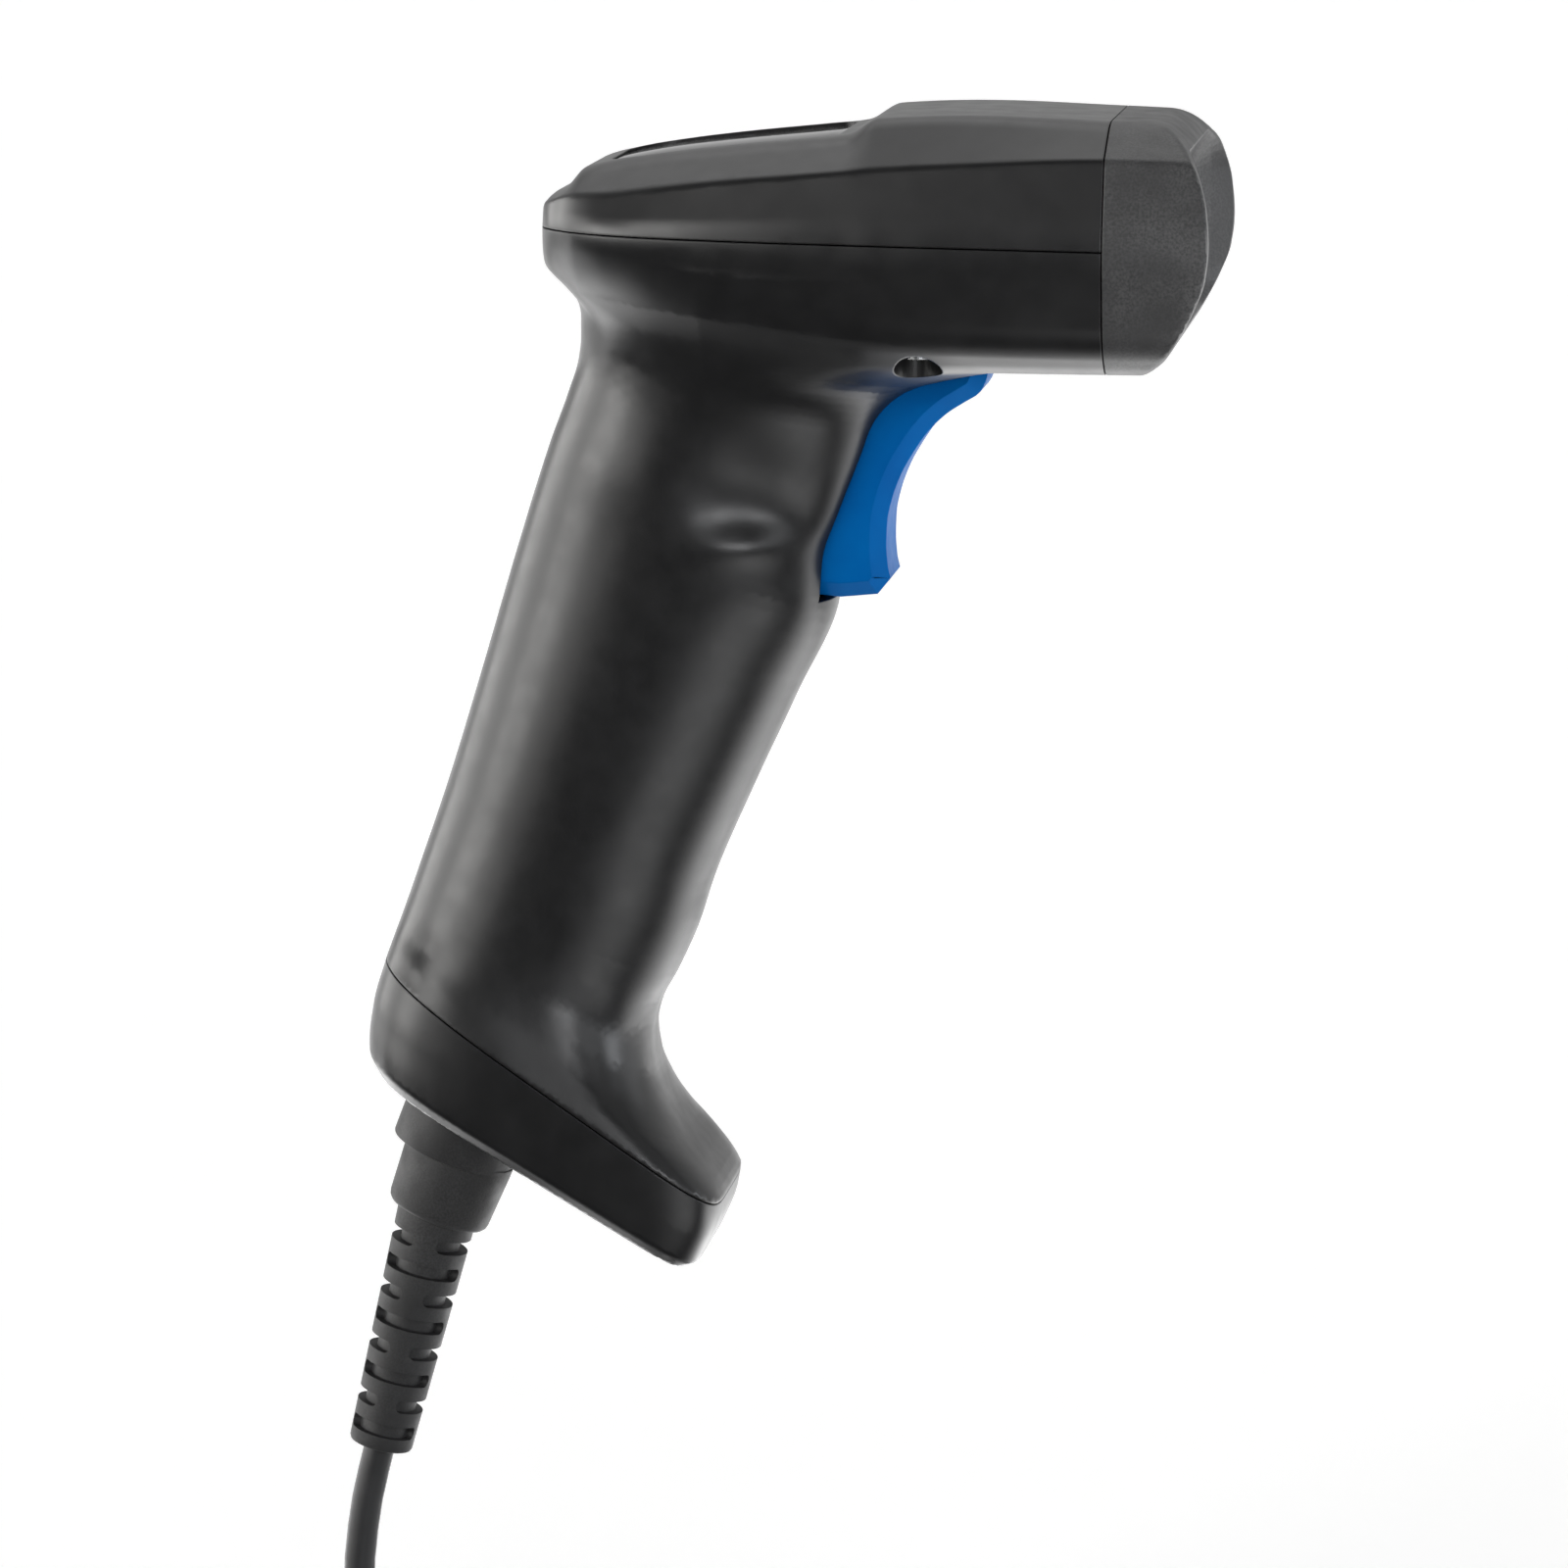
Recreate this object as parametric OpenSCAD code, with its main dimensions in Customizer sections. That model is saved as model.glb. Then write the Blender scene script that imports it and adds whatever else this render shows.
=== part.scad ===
// Handheld barcode scanner of the gun type, with its cable and plug. Millimetres.
// +X is the scan direction, +Y the scanner's left side and +Z up.
// The origin is the middle of the hand grip, where the hand holds it.

/* [Head] */
// Half width of the head at the seam between its two halves
head_half_w = 31; // [30:0.5:32]
// Wall thickness of the plastic mouldings
wall = 2; // [1.8:0.1:2.2]
// Gap left at each seam between two mouldings
seam_gap = 0.2; // [0.1:0.05:0.3]
// Where the nose bezel meets the housing, measured along X
bezel_x = 72; // [71.5:0.25:72.5]

/* [Scan window] */
// Width of the scan window's clear opening
window_w = 42; // [38:1:44]
// Height of the scan window's clear opening
window_h = 17; // [15:0.5:18]

/* [Grip] */
// Half width of the hand grip at its middle
grip_half_w = 17.2; // [16.6:0.2:18]
// Lean of the hand grip back from the vertical, in degrees
grip_lean = 20.8; // [20.5:0.1:21]

/* [Trigger] */
// Width of the trigger
trigger_w = 17; // [16:0.25:17.5]
// Radius of the steel pin that the trigger turns on
pin_r = 1.25; // [1.2:0.05:1.3]
// Running clearance around the pin
pin_clear = 0.05; // [0.03:0.01:0.08]

/* [Cable] */
// Diameter of the cable
cable_d = 4.5; // [4.3:0.1:4.7]
// Number of slotted levels in the strain relief
relief_levels = 8; // [6:1:8]

/* [Hidden] */

housing_black = [0.07, 0.07, 0.075];
bezel_grey = [0.13, 0.13, 0.135];
rubber_black = [0.1, 0.1, 0.1];
trigger_blue = [0, 0.33, 0.7];
board_green = [0.05, 0.3, 0.15];
chip_black = [0.05, 0.05, 0.06];
steel = [0.7, 0.7, 0.72];
gold = [0.85, 0.65, 0.2];

// Head stations: x, then the heights of the top, upper crease, seam, lower edge and underside,
// then the half widths at the same five places
head_stations = [
    [-8, 80, 79.4, 76.4, 72.4, 71.5, 5, 7, 8.5, 7.5, 5],
    [-7, 80.8, 80.2, 76.6, 71.6, 70.4, 9, 12.5, 14.5, 13, 9],
    [-4, 82.6, 81.4, 76.8, 71.2, 68, 11, 17, 19.5, 17.5, 12],
    [-1.5, 85, 82, 76.8, 71.2, 66.5, 12.5, 19.3, 22, 20, 14],
    [3, 86.2, 82.4, 76.8, 71, 65, 14, 21.8, 24.8, 22.8, 15],
    [10, 87.4, 83.4, 76.7, 70, 63, 15, 23.8, 27.3, 25.2, 16.5],
    [20, 88.6, 84.6, 76.5, 67.8, 61, 16, 25.3, 29, 26.8, 18],
    [30, 89.6, 85.5, 76.4, 65.6, 59.6, 16.5, 26.2, 30, 27.8, 20],
    [35.5, 90.2, 86, 76.3, 64.6, 59, 16.7, 26.6, 30.3, 28.2, 21],
    [40, 92.5, 86.4, 76.2, 63.5, 58.6, 17, 26.8, 30.6, 28.4, 21.5],
    [53, 93, 87.2, 76, 62.6, 58, 17, 27.2, 31, 28.8, 22],
    [72, 92.4, 88, 75.8, 62.3, 58, 17, 27.3, 31.2, 29, 22.5],
    [88, 91.8, 87.6, 75.6, 62, 58, 16.5, 26.8, 30.6, 28.6, 22.5]
];
// How far forward the cavity's rear stations stand from the outer ones
rear_wall_shift = [[-8, 1.4], [-7, 1.6], [-4, 1], [-1.5, 0.7], [3, 0]];
top_wall = wall + 1.5;
corner_curve = 4.5;
seam_slope = 0.015;
seam_z0 = 76.8;
function seam_z(x) = seam_z0 - seam_slope * x;

// The grip's rear and front lines in the side view, as height and x
rear_line = [[-29.5, -32], [-16.5, -27.5], [-1.5, -22.4], [14.5, -17.5], [31, -12.6],
    [46, -7.8], [52.5, -5.4], [58, -3.7], [61, -3.4], [72, -3.4]];
front_line = [[-62, 18], [-59.5, 16.8], [-56.5, 14.7], [-52.5, 11.4], [-47.5, 8.5], [-43, 6.9],
    [-38.5, 6.5], [-35, 7.2], [-30, 9.8], [-23, 12.9], [-17, 14.8], [-3, 20.8], [10, 26.8],
    [24, 32.8], [30, 33.2], [36.5, 35.4], [45, 38.6], [48.5, 39.8], [52, 41.8], [54.5, 44.2],
    [56.5, 49.5], [58, 54], [62, 58]];
// Grip stations: height at the rear, height at the front, half width, squareness
grip_stations = [
    [68, 61, 22, 2.4], [64, 57.5, 20.5, 2.4], [59, 51, 19, 2.4], [53, 41.5, 18.4, 2.4],
    [47, 33, 18.2, 2.4], [40, 24, 17.9, 2.4], [26, 10, 17.5, 2.3], [12, -4, 17.2, 2.3],
    [-2, -18, 17, 2.3], [-12, -30, 16.9, 2.4], [-18, -38, 17.1, 2.5], [-22, -46, 17.7, 2.7],
    [-25, -53, 18.5, 3], [-27.6, -60.9, 19.3, 3.2]
];
// Base cap stations: rear x and z, front x and z, half width, squareness
cap_stations = [
    [-31.6, -27.8, 17.2, -61.1, 19.3, 3.2], [-33.2, -34, 16.8, -64.2, 19.2, 3.2],
    [-33.8, -39, 15.4, -67.6, 19, 3.2], [-33.4, -42.5, 14, -70.4, 18.6, 3.2],
    [-31.6, -45.2, 12.6, -71.8, 17.6, 3.1], [-29, -47.4, 9.6, -70.7, 15.4, 3]
];
ring_points = 32;

// Nose of the bezel in the side view
nose_arc = [[71, 93.5], [77.6, 92.6], [80, 91.6], [82.4, 89.6], [84.7, 85.9], [86, 80.8],
    [86.3, 76.3], [85.8, 71.6], [84.4, 67.8], [82.7, 64.4], [80.3, 60.6], [76.8, 57.6], [71, 57.6]];
window_z = 76;
window_x = 78.6;
window_t = 1.5;

// Deck panel
deck_line = [[-1.5, 85], [3, 86.2], [10, 87.4], [20, 88.6], [30, 89.6], [35.5, 90.2]];
deck_x = [2, 34];
deck_half_w = 13;
deck_t = 1;
deck_recess = 0.4;

// Screws
screw_x = 46.3;
screw_y = 22.5;
screw_r = 1.25;
screw_head_r = 2.6;
recess_r = 3.35;
boss_r = 4.1;
recess_top = 62.2;
cap_screw_at = [3, -65.5];
foot_tilt = 31;
cap_boss = [7, 17];

// Head interior
board_z = 72.6;
board_t = 1.6;
board_top = board_z + board_t;
guide_x = 26;
board_x = [3, 45];
board_half_w = 18;
board_post_x = [7, 38];
board_post_y = 14.5;
optic_z = 75.6;
barrel_r = 5;

// Trigger and its pivot
pivot = [49.5, 64];
hub_r = 3.2;
hub_half_w = 4;
ear_t = 2.6;
ear_r = 3;
trigger_front = [[54.6, 60.5], [54.3, 56.3], [53.2, 53.8], [51.2, 52.5], [48.6, 50.8], [45.9, 48.1],
    [43.9, 45.2], [42.3, 42.3], [41, 38.8], [40.3, 35.4], [40.2, 32.2], [40.4, 29.3], [40.8, 27.5],
    [39, 25.3], [33.8, 24.8]];
trigger_pad_x = 32.4;
trigger_rear = [[29.8, 25.2], [29.8, 34.5], [trigger_pad_x, 37.5], [trigger_pad_x, 47.5], [36, 53],
    [42, 57], [45.5, 60.5]];
arm_x = [22.8, 24.4];
spring_x = [24.8, 29.4];
spring_z = 32.5;
spring_r = 1.9;
spring_wire_r = 0.3;
spring_turns = 4;
spring_steps = 14;
slot_clear = 0.4;
switch_z = 44;
plunger_r = 1.5;
plunger_gap = 0.05;

// Cable axis: the grip's own lean, then the strain relief bends toward the vertical
plug_tilt_x = -1.1;
relief_start = -71.2;
relief_pitch = 4.1;
relief_slot = 1.9;
relief_r = [5.75, 4.6];
relief_bridge = 1.6;
relief_bend = 6.8;
relief_len = 2.6 + relief_levels * relief_pitch;

// Route of the free cable down to the floor, around to the coil, and from the coil to the plug
floor_z = -160;
cable_r = cable_d / 2;
lead_route = [[-33.9, 0, -101], [-34.9, 0, -105], [-35.8, 0, -109], [-36.5, 0, -113.5],
    [-37, 0, -118], [-37.2, 0, -123], [-36.8, 0, -129], [-35.2, 0, -135.5], [-32.2, 0, -142],
    [-27.8, 0, -148], [-22, 0, -153], [-15, 0, -156.3], [-7, 0, -157.7], [2, 0, -157.7]];
coil_at = [14, 32.1];
coil_mid_r = 26.75;
coil_half_w = 7.6;
coil_h = 18;
tail_route = [[4, 64.2, -144.25], [-3, 64.1, -144.6], [-9.5, 63.2, -146], [-15.5, 61.2, -148.4],
    [-20.8, 58.1, -151.2], [-25.5, 54, -153.8], [-29.3, 49.2, -155.2], [-32.4, 44.4, -155.7],
    [-34.5, 40.6, -155.65], [-35, 38.4, -155.6], [-35, 36.05, -155.6]];
plug_at = [-35, 36, -155.6];

// ---- Shared functions and shapes ----

// Closed outline with each corner turned into a short curve that starts up to r from it
function round_corners(p, r) = [for (i = [0:len(p) - 1]) let (
    a = p[(i + len(p) - 1) % len(p)] - p[i], b = p[(i + 1) % len(p)] - p[i],
    from = a * min(r / norm(a), 0.45), to = b * min(r / norm(b), 0.45))
    for (t = [0:1 / 3:1]) p[i] + from * (1 - t) * (1 - t) + to * t * t];

// Outline of the head across X, inset by t from its own surface
function head_ring(s, t = 0, top = 0) = let (
    p = [[s[6] - t * 0.4, s[1] - top], [s[7] - t, s[2] - t * 0.5 - top * 0.3], [s[8] - t, s[3]],
        [s[9] - t, s[4] + t * 0.4], [s[10] - t * 0.6, s[5] + t]],
    both = concat(p, [for (i = [4:-1:0]) [-p[i][0], p[i][1]]]),
    x = s[0] + (t > 0 ? lookup(s[0], rear_wall_shift) : 0))
    [for (q = round_corners(both, corner_curve)) [x, q[0] * head_half_w / 31, q[1]]];

// Rounded outline between a rear and a front point of the side view
function chord_ring(rear, front, half_w, n) = let (mid = (rear + front) / 2, arm = (front - rear) / 2)
    [for (i = [0:ring_points - 1]) let (a = 360 * i / ring_points, c = cos(a), s = sin(a),
        u = sign(c) * pow(abs(c), 2 / n), v = sign(s) * pow(abs(s), 2 / n))
        [mid[0] + u * arm[0], v * half_w, mid[1] + u * arm[1]]];

function grip_ring(s, t = 0) = let (
    rear = [lookup(s[0], rear_line), s[0]], front = [lookup(s[1], front_line), s[1]],
    dir = (front - rear) / norm(front - rear))
    chord_ring(rear + dir * t, front - dir * t, s[2] * grip_half_w / 17.2 - t, s[3]);

function cap_ring(s, t = 0, lift = 0) = let (rear = [s[0], s[1] + lift], front = [s[2], s[3] + lift],
    dir = (front - rear) / norm(front - rear))
    chord_ring(rear + dir * t, front - dir * t, s[4] * grip_half_w / 17.2 - t, s[5]);

// Body through a row of rings, one convex segment after another
module loft(rings)
    for (i = [0:len(rings) - 2])
        hull() polyhedron(points = concat(rings[i], rings[i + 1]), faces = [
            [for (j = [0:len(rings[i]) - 1]) j],
            [for (j = [0:len(rings[i + 1]) - 1]) j + len(rings[i])]]);

// Extrudes a side view outline, given as x and z, across the width
module across(half_w)
    rotate([90, 0, 0]) linear_extrude(2 * half_w, center = true) children();

module at_grip() rotate([0, grip_lean, 0]) children();

module box(x, y, z) translate([x[0], y[0], z[0]]) cube([x[1] - x[0], y[1] - y[0], z[1] - z[0]]);

module rod_x(r, x, y = 0, z = 0, fn = 32)
    translate([x[0], y, z]) rotate([0, 90, 0]) cylinder(r = r, h = x[1] - x[0], $fn = fn);

module rod_y(r, half_l, fn = 32) rotate([90, 0, 0]) cylinder(r = r, h = 2 * half_l, center = true, $fn = fn);

module rod_z(r, z, fn = 32) translate([0, 0, z[0]]) cylinder(r = r, h = z[1] - z[0], $fn = fn);

module both_sides() for (s = [-1, 1]) scale([1, s, 1]) children();

function unit(v) = v / norm(v);

// Tube of k sides swept along a route, closed at both ends; across_dir never lies along the route
module tube_along(route, r, k, across_dir) {
    n = len(route);
    rings = [for (i = [0:n - 1]) let (
        d = unit(route[min(i + 1, n - 1)] - route[max(i - 1, 0)]),
        side = unit(cross(d, across_dir)),
        up = cross(side, d))
        for (j = [0:k - 1]) route[i] + r * (side * cos(360 * j / k) + up * sin(360 * j / k))];
    polyhedron(points = rings, faces = concat(
        [[for (j = [0:k - 1]) j]],
        [for (i = [0:n - 2], j = [0:k - 1], a = [i * k + j], b = [i * k + (j + 1) % k])
            each [[a, a + k, b + k], [a, b + k, b]]],
        [[for (j = [k - 1:-1:0]) (n - 1) * k + j]]));
}

// ---- Mouldings ----

module head_solid() loft([for (s = head_stations) head_ring(s)]);

module head_cavity() loft([for (s = head_stations) head_ring(s, wall, top_wall)]);

module above_seam(shift) across(50)
    polygon([[-30, seam_z(-30) + shift], [100, seam_z(100) + shift], [100, 130], [-30, 130]]);

module below_seam(shift) across(50)
    polygon([[-30, seam_z(-30) - shift], [100, seam_z(100) - shift], [100, 20], [-30, 20]]);

module behind_bezel() box([-20, bezel_x - seam_gap / 2], [-50, 50], [20, 120]);

module grip_solid() loft([for (s = grip_stations) grip_ring(s)]);

module grip_cavity() {
    last = grip_stations[len(grip_stations) - 1];
    loft(concat([for (s = grip_stations) grip_ring(s, wall)],
        [[for (p = grip_ring(last, wall)) p + [-1.4, 0, -4]]]));
}

// Opening in the front of the grip and the underside of the head for the trigger
module trigger_slot() across(trigger_w / 2 + slot_clear)
    polygon([[27, 24.3], [50, 24.3], [58, 50], [58, 57], [55.4, 57], [55.4, 61.5], [42, 61.5], [31, 50]]);

module screw_boss(z, hole_r) difference() {
    rod_z(boss_r, z, 24);
    rod_z(hole_r, [z[0] - 1, z[1] + 1], 16);
}

module lower_housing() color(housing_black) difference() {
    union() {
        difference() {
            union() {
                intersection() {
                    head_solid();
                    below_seam(seam_gap / 2);
                    behind_bezel();
                }
                grip_solid();
            }
            head_cavity();
            grip_cavity();
        }
        both_sides() translate([screw_x, screw_y, 0]) screw_boss([60, 75.6], screw_r + 0.15);
        both_sides() for (x = board_post_x) translate([x, board_post_y, 0]) difference() {
            intersection() {
                rod_z(2.4, [58, board_z - 0.1], 16);
                translate([-x, -board_post_y, 0]) head_solid();
            }
            rod_z(0.95, [board_z - 5, board_z + 1], 16);
        }
        intersection() {
            cap_screw_frame() rod_z(3, cap_boss, 24);
            union() {
                grip_solid();
                across(5) polygon([[-40, -21.8], [25, -66.7], [25, -80], [-40, -80]]);
            }
        }
    }
    trigger_slot();
    both_sides() translate([screw_x, screw_y, 0]) rod_z(recess_r, [50, recess_top], 24);
    cap_screw_frame() rod_z(screw_r + 0.15, [0, cap_boss[1] - 1], 16);
}

module deck_outline(grow) hull()
    for (x = [deck_x[0] + 5, deck_x[1] - 2], s = [-1, 1])
        translate([x, s * (deck_half_w - (x > 20 ? 2 : 6))])
            circle(r = (x > 20 ? 2 : 5) + grow, $fn = 24);

// Layer that follows the deck between two depths beneath it
module deck_layer(top, bottom, grow) intersection() {
    across(30) polygon(concat(
        [for (x = [-1:6:41]) [x, lookup(x, deck_line) - top]],
        [for (x = [41:-6:-1]) [x, lookup(x, deck_line) - bottom]]));
    translate([0, 0, 70]) linear_extrude(40) deck_outline(grow);
}

module top_cover() color(housing_black) difference() {
    union() {
        difference() {
            intersection() {
                head_solid();
                above_seam(seam_gap / 2);
                behind_bezel();
            }
            head_cavity();
        }
        both_sides() translate([screw_x, screw_y, 0]) intersection() {
            screw_boss([76.6, 90], screw_r + 0.1);
            translate([-screw_x, -screw_y, 0]) head_solid();
        }
    }
    deck_layer(-2, deck_recess + deck_t + 0.1, 0.15);
    translate([guide_x, 0, 0]) rod_z(2.7, [80, 92], 24);
}

module deck_inlay() color([0.2, 0.21, 0.22]) deck_layer(deck_recess, deck_recess + deck_t, 0);

// Rounded rectangle across X, as a rod from x[0] to x[1]
module window_block(w, h, r, x) translate([x[0], 0, window_z]) rotate([90, 0, 90])
    linear_extrude(x[1] - x[0]) hull() for (a = [-1, 1], b = [-1, 1])
        translate([a * (w / 2 - r), b * (h / 2 - r)]) circle(r = r, $fn = 24);

module front_bezel() color(bezel_grey) difference() {
    intersection() {
        head_solid();
        across(50) polygon(nose_arc);
        box([bezel_x + seam_gap / 2, 100], [-50, 50], [20, 120]);
    }
    intersection() {
        head_cavity();
        box([70, window_x - 0.1], [-50, 50], [20, 120]);
    }
    window_block(window_w + 3.4, window_h + 3.4, 4, [70, window_x + window_t + 0.1]);
    hull() {
        window_block(window_w, window_h, 3, [window_x, window_x + 2]);
        window_block(window_w + 7, window_h + 5, 5, [88, 89]);
    }
}

module scan_window() color([0.35, 0.05, 0.06, 0.7])
    window_block(window_w + 3, window_h + 3, 4, [window_x, window_x + window_t]);

module window_gasket() color(rubber_black) difference() {
    window_block(window_w + 3, window_h + 3, 4, [window_x - 1.3, window_x - 0.05]);
    window_block(window_w - 2, window_h - 2, 3, [window_x - 2, window_x + 1]);
}

module base_cap() color(housing_black) difference() {
    loft([for (s = cap_stations) cap_ring(s, 0, s == cap_stations[0] ? -seam_gap : 0)]);
    loft(concat([[for (p = cap_ring(cap_stations[0], wall)) p + [1, 0, 3]]],
        [for (s = [for (i = [0:4]) cap_stations[i]]) cap_ring(s, wall, s[1] < -45 ? 1.4 : 0)]));
    at_grip() translate([plug_tilt_x, 0, 0]) rod_z(9.3, [-80, -40], 32);
    cap_screw_frame() rod_z(screw_head_r + 0.3, [-10, -1.2], 24);
    cap_screw_frame() rod_z(screw_r + 0.2, [-2, 8], 16);
}

// ---- Fasteners ----

module cross_recess(r, depth) for (a = [0, 90]) rotate([0, 0, a])
    translate([-r, -r / 4, -0.1]) cube([2 * r, r / 2, depth + 0.1]);

// Pan-head screw pointing up, with its head's underside at z = 0
module screw(shank_r, head_r, length) difference() {
    union() {
        rod_z(head_r, [-1.8, 0]);
        rod_z(shank_r, [-0.1, length]);
    }
    translate([0, 0, -1.8]) cross_recess(head_r * 0.6, 0.9);
}

module housing_screws() color(steel) both_sides()
    translate([screw_x, screw_y, recess_top - 0.1]) screw(screw_r, screw_head_r, 21);

module cap_screw_frame() translate([cap_screw_at[0], 0, cap_screw_at[1]])
    rotate([0, foot_tilt, 0]) children();

module cap_screw() color(steel) cap_screw_frame() translate([0, 0, -1.2]) screw(screw_r, screw_head_r, 15);

module board_screws() color(steel) both_sides() for (x = board_post_x)
    translate([x, board_post_y, board_top + 0.05]) mirror([0, 0, 1]) screw(0.85, 1.9, 6);

// ---- Electronics in the head ----

module main_board() color(board_green) difference() {
    box(board_x, [-board_half_w, board_half_w], [board_z, board_z + board_t]);
    both_sides() for (x = board_post_x) translate([x, board_post_y, 0]) rod_z(1.1, [70, 76]);
}

module main_processor() color(chip_black) box([11, 23], [-6, 6], [board_top, board_top + 1.3]);

module board_chips() color(chip_black) {
    box([29, 34], [-11, -5], [board_top, board_top + 1]);
    box([29, 33], [5, 10], [board_top, board_top + 1]);
    for (y = [-16:3:-8]) box([19, 20.5], [y, y + 1], [board_top, board_top + 0.8]);
    for (x = [12:3:24]) box([x, x + 1], [9, 10.5], [board_top, board_top + 0.8]);
}

module board_connectors() color([0.9, 0.88, 0.8]) {
    box([40, 43.5], [-7, 7], [board_top, board_top + 1.6]);
    box([9, 14], [-5, 5], [board_z - 4, board_z]);
}

module beeper() color(chip_black) translate([30, -9, 0]) difference() {
    rod_z(6, [board_z - 4.5, board_z]);
    rod_z(1.2, [board_z - 5, board_z - 3]);
}

module status_leds() color([0.95, 0.95, 0.85]) for (y = [-1.5, 1.5])
    box([25.3, 26.7], [y - 0.5, y + 0.5], [board_top, board_top + 0.7]);

module status_light_guide() color([0.9, 0.95, 0.95, 0.8]) translate([guide_x, 0, 0])
    rod_z(2.4, [board_top + 1, 87.3]);

module engine_bracket() color(steel) difference() {
    union() {
        box([47, 69], [-16, 16], [67.8, 69]);
        both_sides() box([52, 64], [14.8, 16], [68.5, 78]);
    }
    both_sides() translate([66, 10, 0]) rod_z(1.2, [60, 80]);
    both_sides() translate([58, 0, 74]) rod_y(1.2, 20);
}

module engine_chassis() color([0.75, 0.75, 0.78]) difference() {
    box([53, 65], [-11.5, 11.5], [69.2, 82]);
    rod_x(barrel_r + 0.05, [50, 70], 0, optic_z);
    rod_x(1.85, [50, 70], -8.5, optic_z);
    rod_x(1.85, [50, 70], 8.5, optic_z);
}

module imager_board() color(board_green) box([51, 52.2], [-11, 11], [69.6, 81.6]);

module image_sensor() color(chip_black) box([52.2, 53.6], [-3.4, 3.4], [optic_z - 2.8, optic_z + 2.8]);

module lens_barrel() color(chip_black) difference() {
    rod_x(barrel_r, [54, 71], 0, optic_z);
    rod_x(3.9, [69, 72], 0, optic_z);
    rod_x(3.4, [53, 70], 0, optic_z);
}

module lens_glass() color([0.5, 0.4, 0.7, 0.6]) translate([69.1, 0, optic_z]) rotate([0, 90, 0])
    rotate_extrude($fn = 64) polygon([[0, 0], [3.85, 0], [3.85, 0.6], [3, 1.05], [2, 1.4], [1, 1.6], [0, 1.65]]);

module aimer_module() color(gold) both_sides() difference() {
    rod_x(1.8, [55, 68], 8.5, optic_z, 24);
    rod_x(1, [66.5, 69], 8.5, optic_z, 24);
}

module illumination_board() color(board_green) difference() {
    box([65.4, 66.6], [-24, 24], [69.3, 83]);
    rod_x(barrel_r + 0.6, [60, 70], 0, optic_z);
    both_sides() rod_x(2.2, [60, 70], 8.5, optic_z);
}

module illumination_leds() color([0.95, 0.9, 0.7]) both_sides() for (y = [14, 20], z = [73, 80])
    box([66.6, 67.6], [y - 1.5, y + 1.5], [z - 1.5, z + 1.5]);

// Flat cable folded back from the imager board to the main board
module ribbon_cable() color([0.85, 0.6, 0.25]) across(5)
    polygon([[50.9, 80], [48.5, 80], [46.2, 78.6], [45, 76.2], [43.6, 75.4], [43.6, 75.1],
        [45.2, 75.9], [46.5, 78.4], [48.6, 79.7], [50.9, 79.7]]);

module handle_harness() color([0.25, 0.25, 0.28])
    tube_along([[11.5, 0, 68.4], [11.5, 0, 63], [10.8, 0, 56], [10.6, 0, 48], [12, 0, 40],
        [14, 0, 33], [15.5, 0, 26], [15.7, 0, 21.4]], 1.4, 8, [0, 1, 0]);

module handle_board() color(board_green) at_grip() box([7.6, 9.2], [-10, 10], [-46, 17]);

module modular_jack() color([0.2, 0.2, 0.22]) at_grip() difference() {
    box([-6.2, 7.5], [-7.8, 7.8], [-49, -28]);
    box([-3.7, 3.7], [-6.2, 6.2], [-50, -31]);
    box([-5.6, -3.6], [-2, 2], [-50, -33]);
}

module jack_contacts() color(gold) at_grip() for (i = [-4.5:4.5])
    box([3.2, 3.65], [i * 1.02 - 0.2, i * 1.02 + 0.2], [-44, -31.5]);

// ---- Trigger group ----

module trigger_bracket() color([0.25, 0.25, 0.27]) difference() {
    union() {
        difference() {
            box([arm_x[0], 58], [-12, 12], [61, 62.2]);
            box([41.5, 55.6], [-trigger_w / 2 - slot_clear, trigger_w / 2 + slot_clear], [60, 63]);
        }
        both_sides() translate([pivot[0], hub_half_w + 0.4 + ear_t / 2, pivot[1]]) rod_y(ear_r, ear_t / 2);
        both_sides() box([pivot[0] - ear_r, pivot[0] + ear_r], [hub_half_w + 0.4, 10], [62, 63.2]);
        box(arm_x, [-7, 7], [29, 62]);
    }
    translate([pivot[0], 0, pivot[1]]) rod_y(pin_r + pin_clear, 20);
}

module trigger_pin() color(steel) translate([pivot[0], 0, pivot[1]]) rod_y(pin_r, 8);

module switch_board() color(board_green) box([24.5, 26], [-6.5, 6.5], [37, 52]);

module trigger_switch() color(chip_black) difference() {
    box([26.1, 29.7], [-4, 4], [switch_z - 3.5, switch_z + 3.5]);
    rod_x(plunger_r + 0.05, [27, 31], 0, switch_z);
}

module switch_plunger() color([0.85, 0.2, 0.15]) intersection() {
    rod_x(plunger_r, [29.3, trigger_pad_x - plunger_gap], 0, switch_z);
    translate([trigger_pad_x - plunger_gap - 3, 0, switch_z]) sphere(r = 3, $fn = 48);
}

// Return spring between the bracket's arm and the back of the trigger
module trigger_spring() color(steel) translate([0, 0, spring_z])
    tube_along([for (i = [0:spring_turns * spring_steps]) let (a = 360 * i / spring_steps)
        [lookup(i, [[0, spring_x[0]], [spring_turns * spring_steps, spring_x[1]]]),
        spring_r * cos(a), spring_r * sin(a)]], spring_wire_r, 6, [1, 0, 0]);

module trigger() color(trigger_blue) difference() {
    union() {
        across(trigger_w / 2) polygon(concat(trigger_front, trigger_rear));
        across(hub_half_w) polygon([[46.3, 60], [54, 60], [52.6, 64.6], [46.6, 65]]);
        translate([pivot[0], 0, pivot[1]]) rod_y(hub_r, hub_half_w);
    }
    translate([pivot[0], 0, pivot[1]]) rod_y(pin_r + pin_clear, 20);
}

// ---- Cable ----

module modular_plug() color([0.75, 0.78, 0.8, 0.9]) at_grip()
    box([-3.3, 3.1], [-5.9, 5.9], [-54, -33]);

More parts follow.
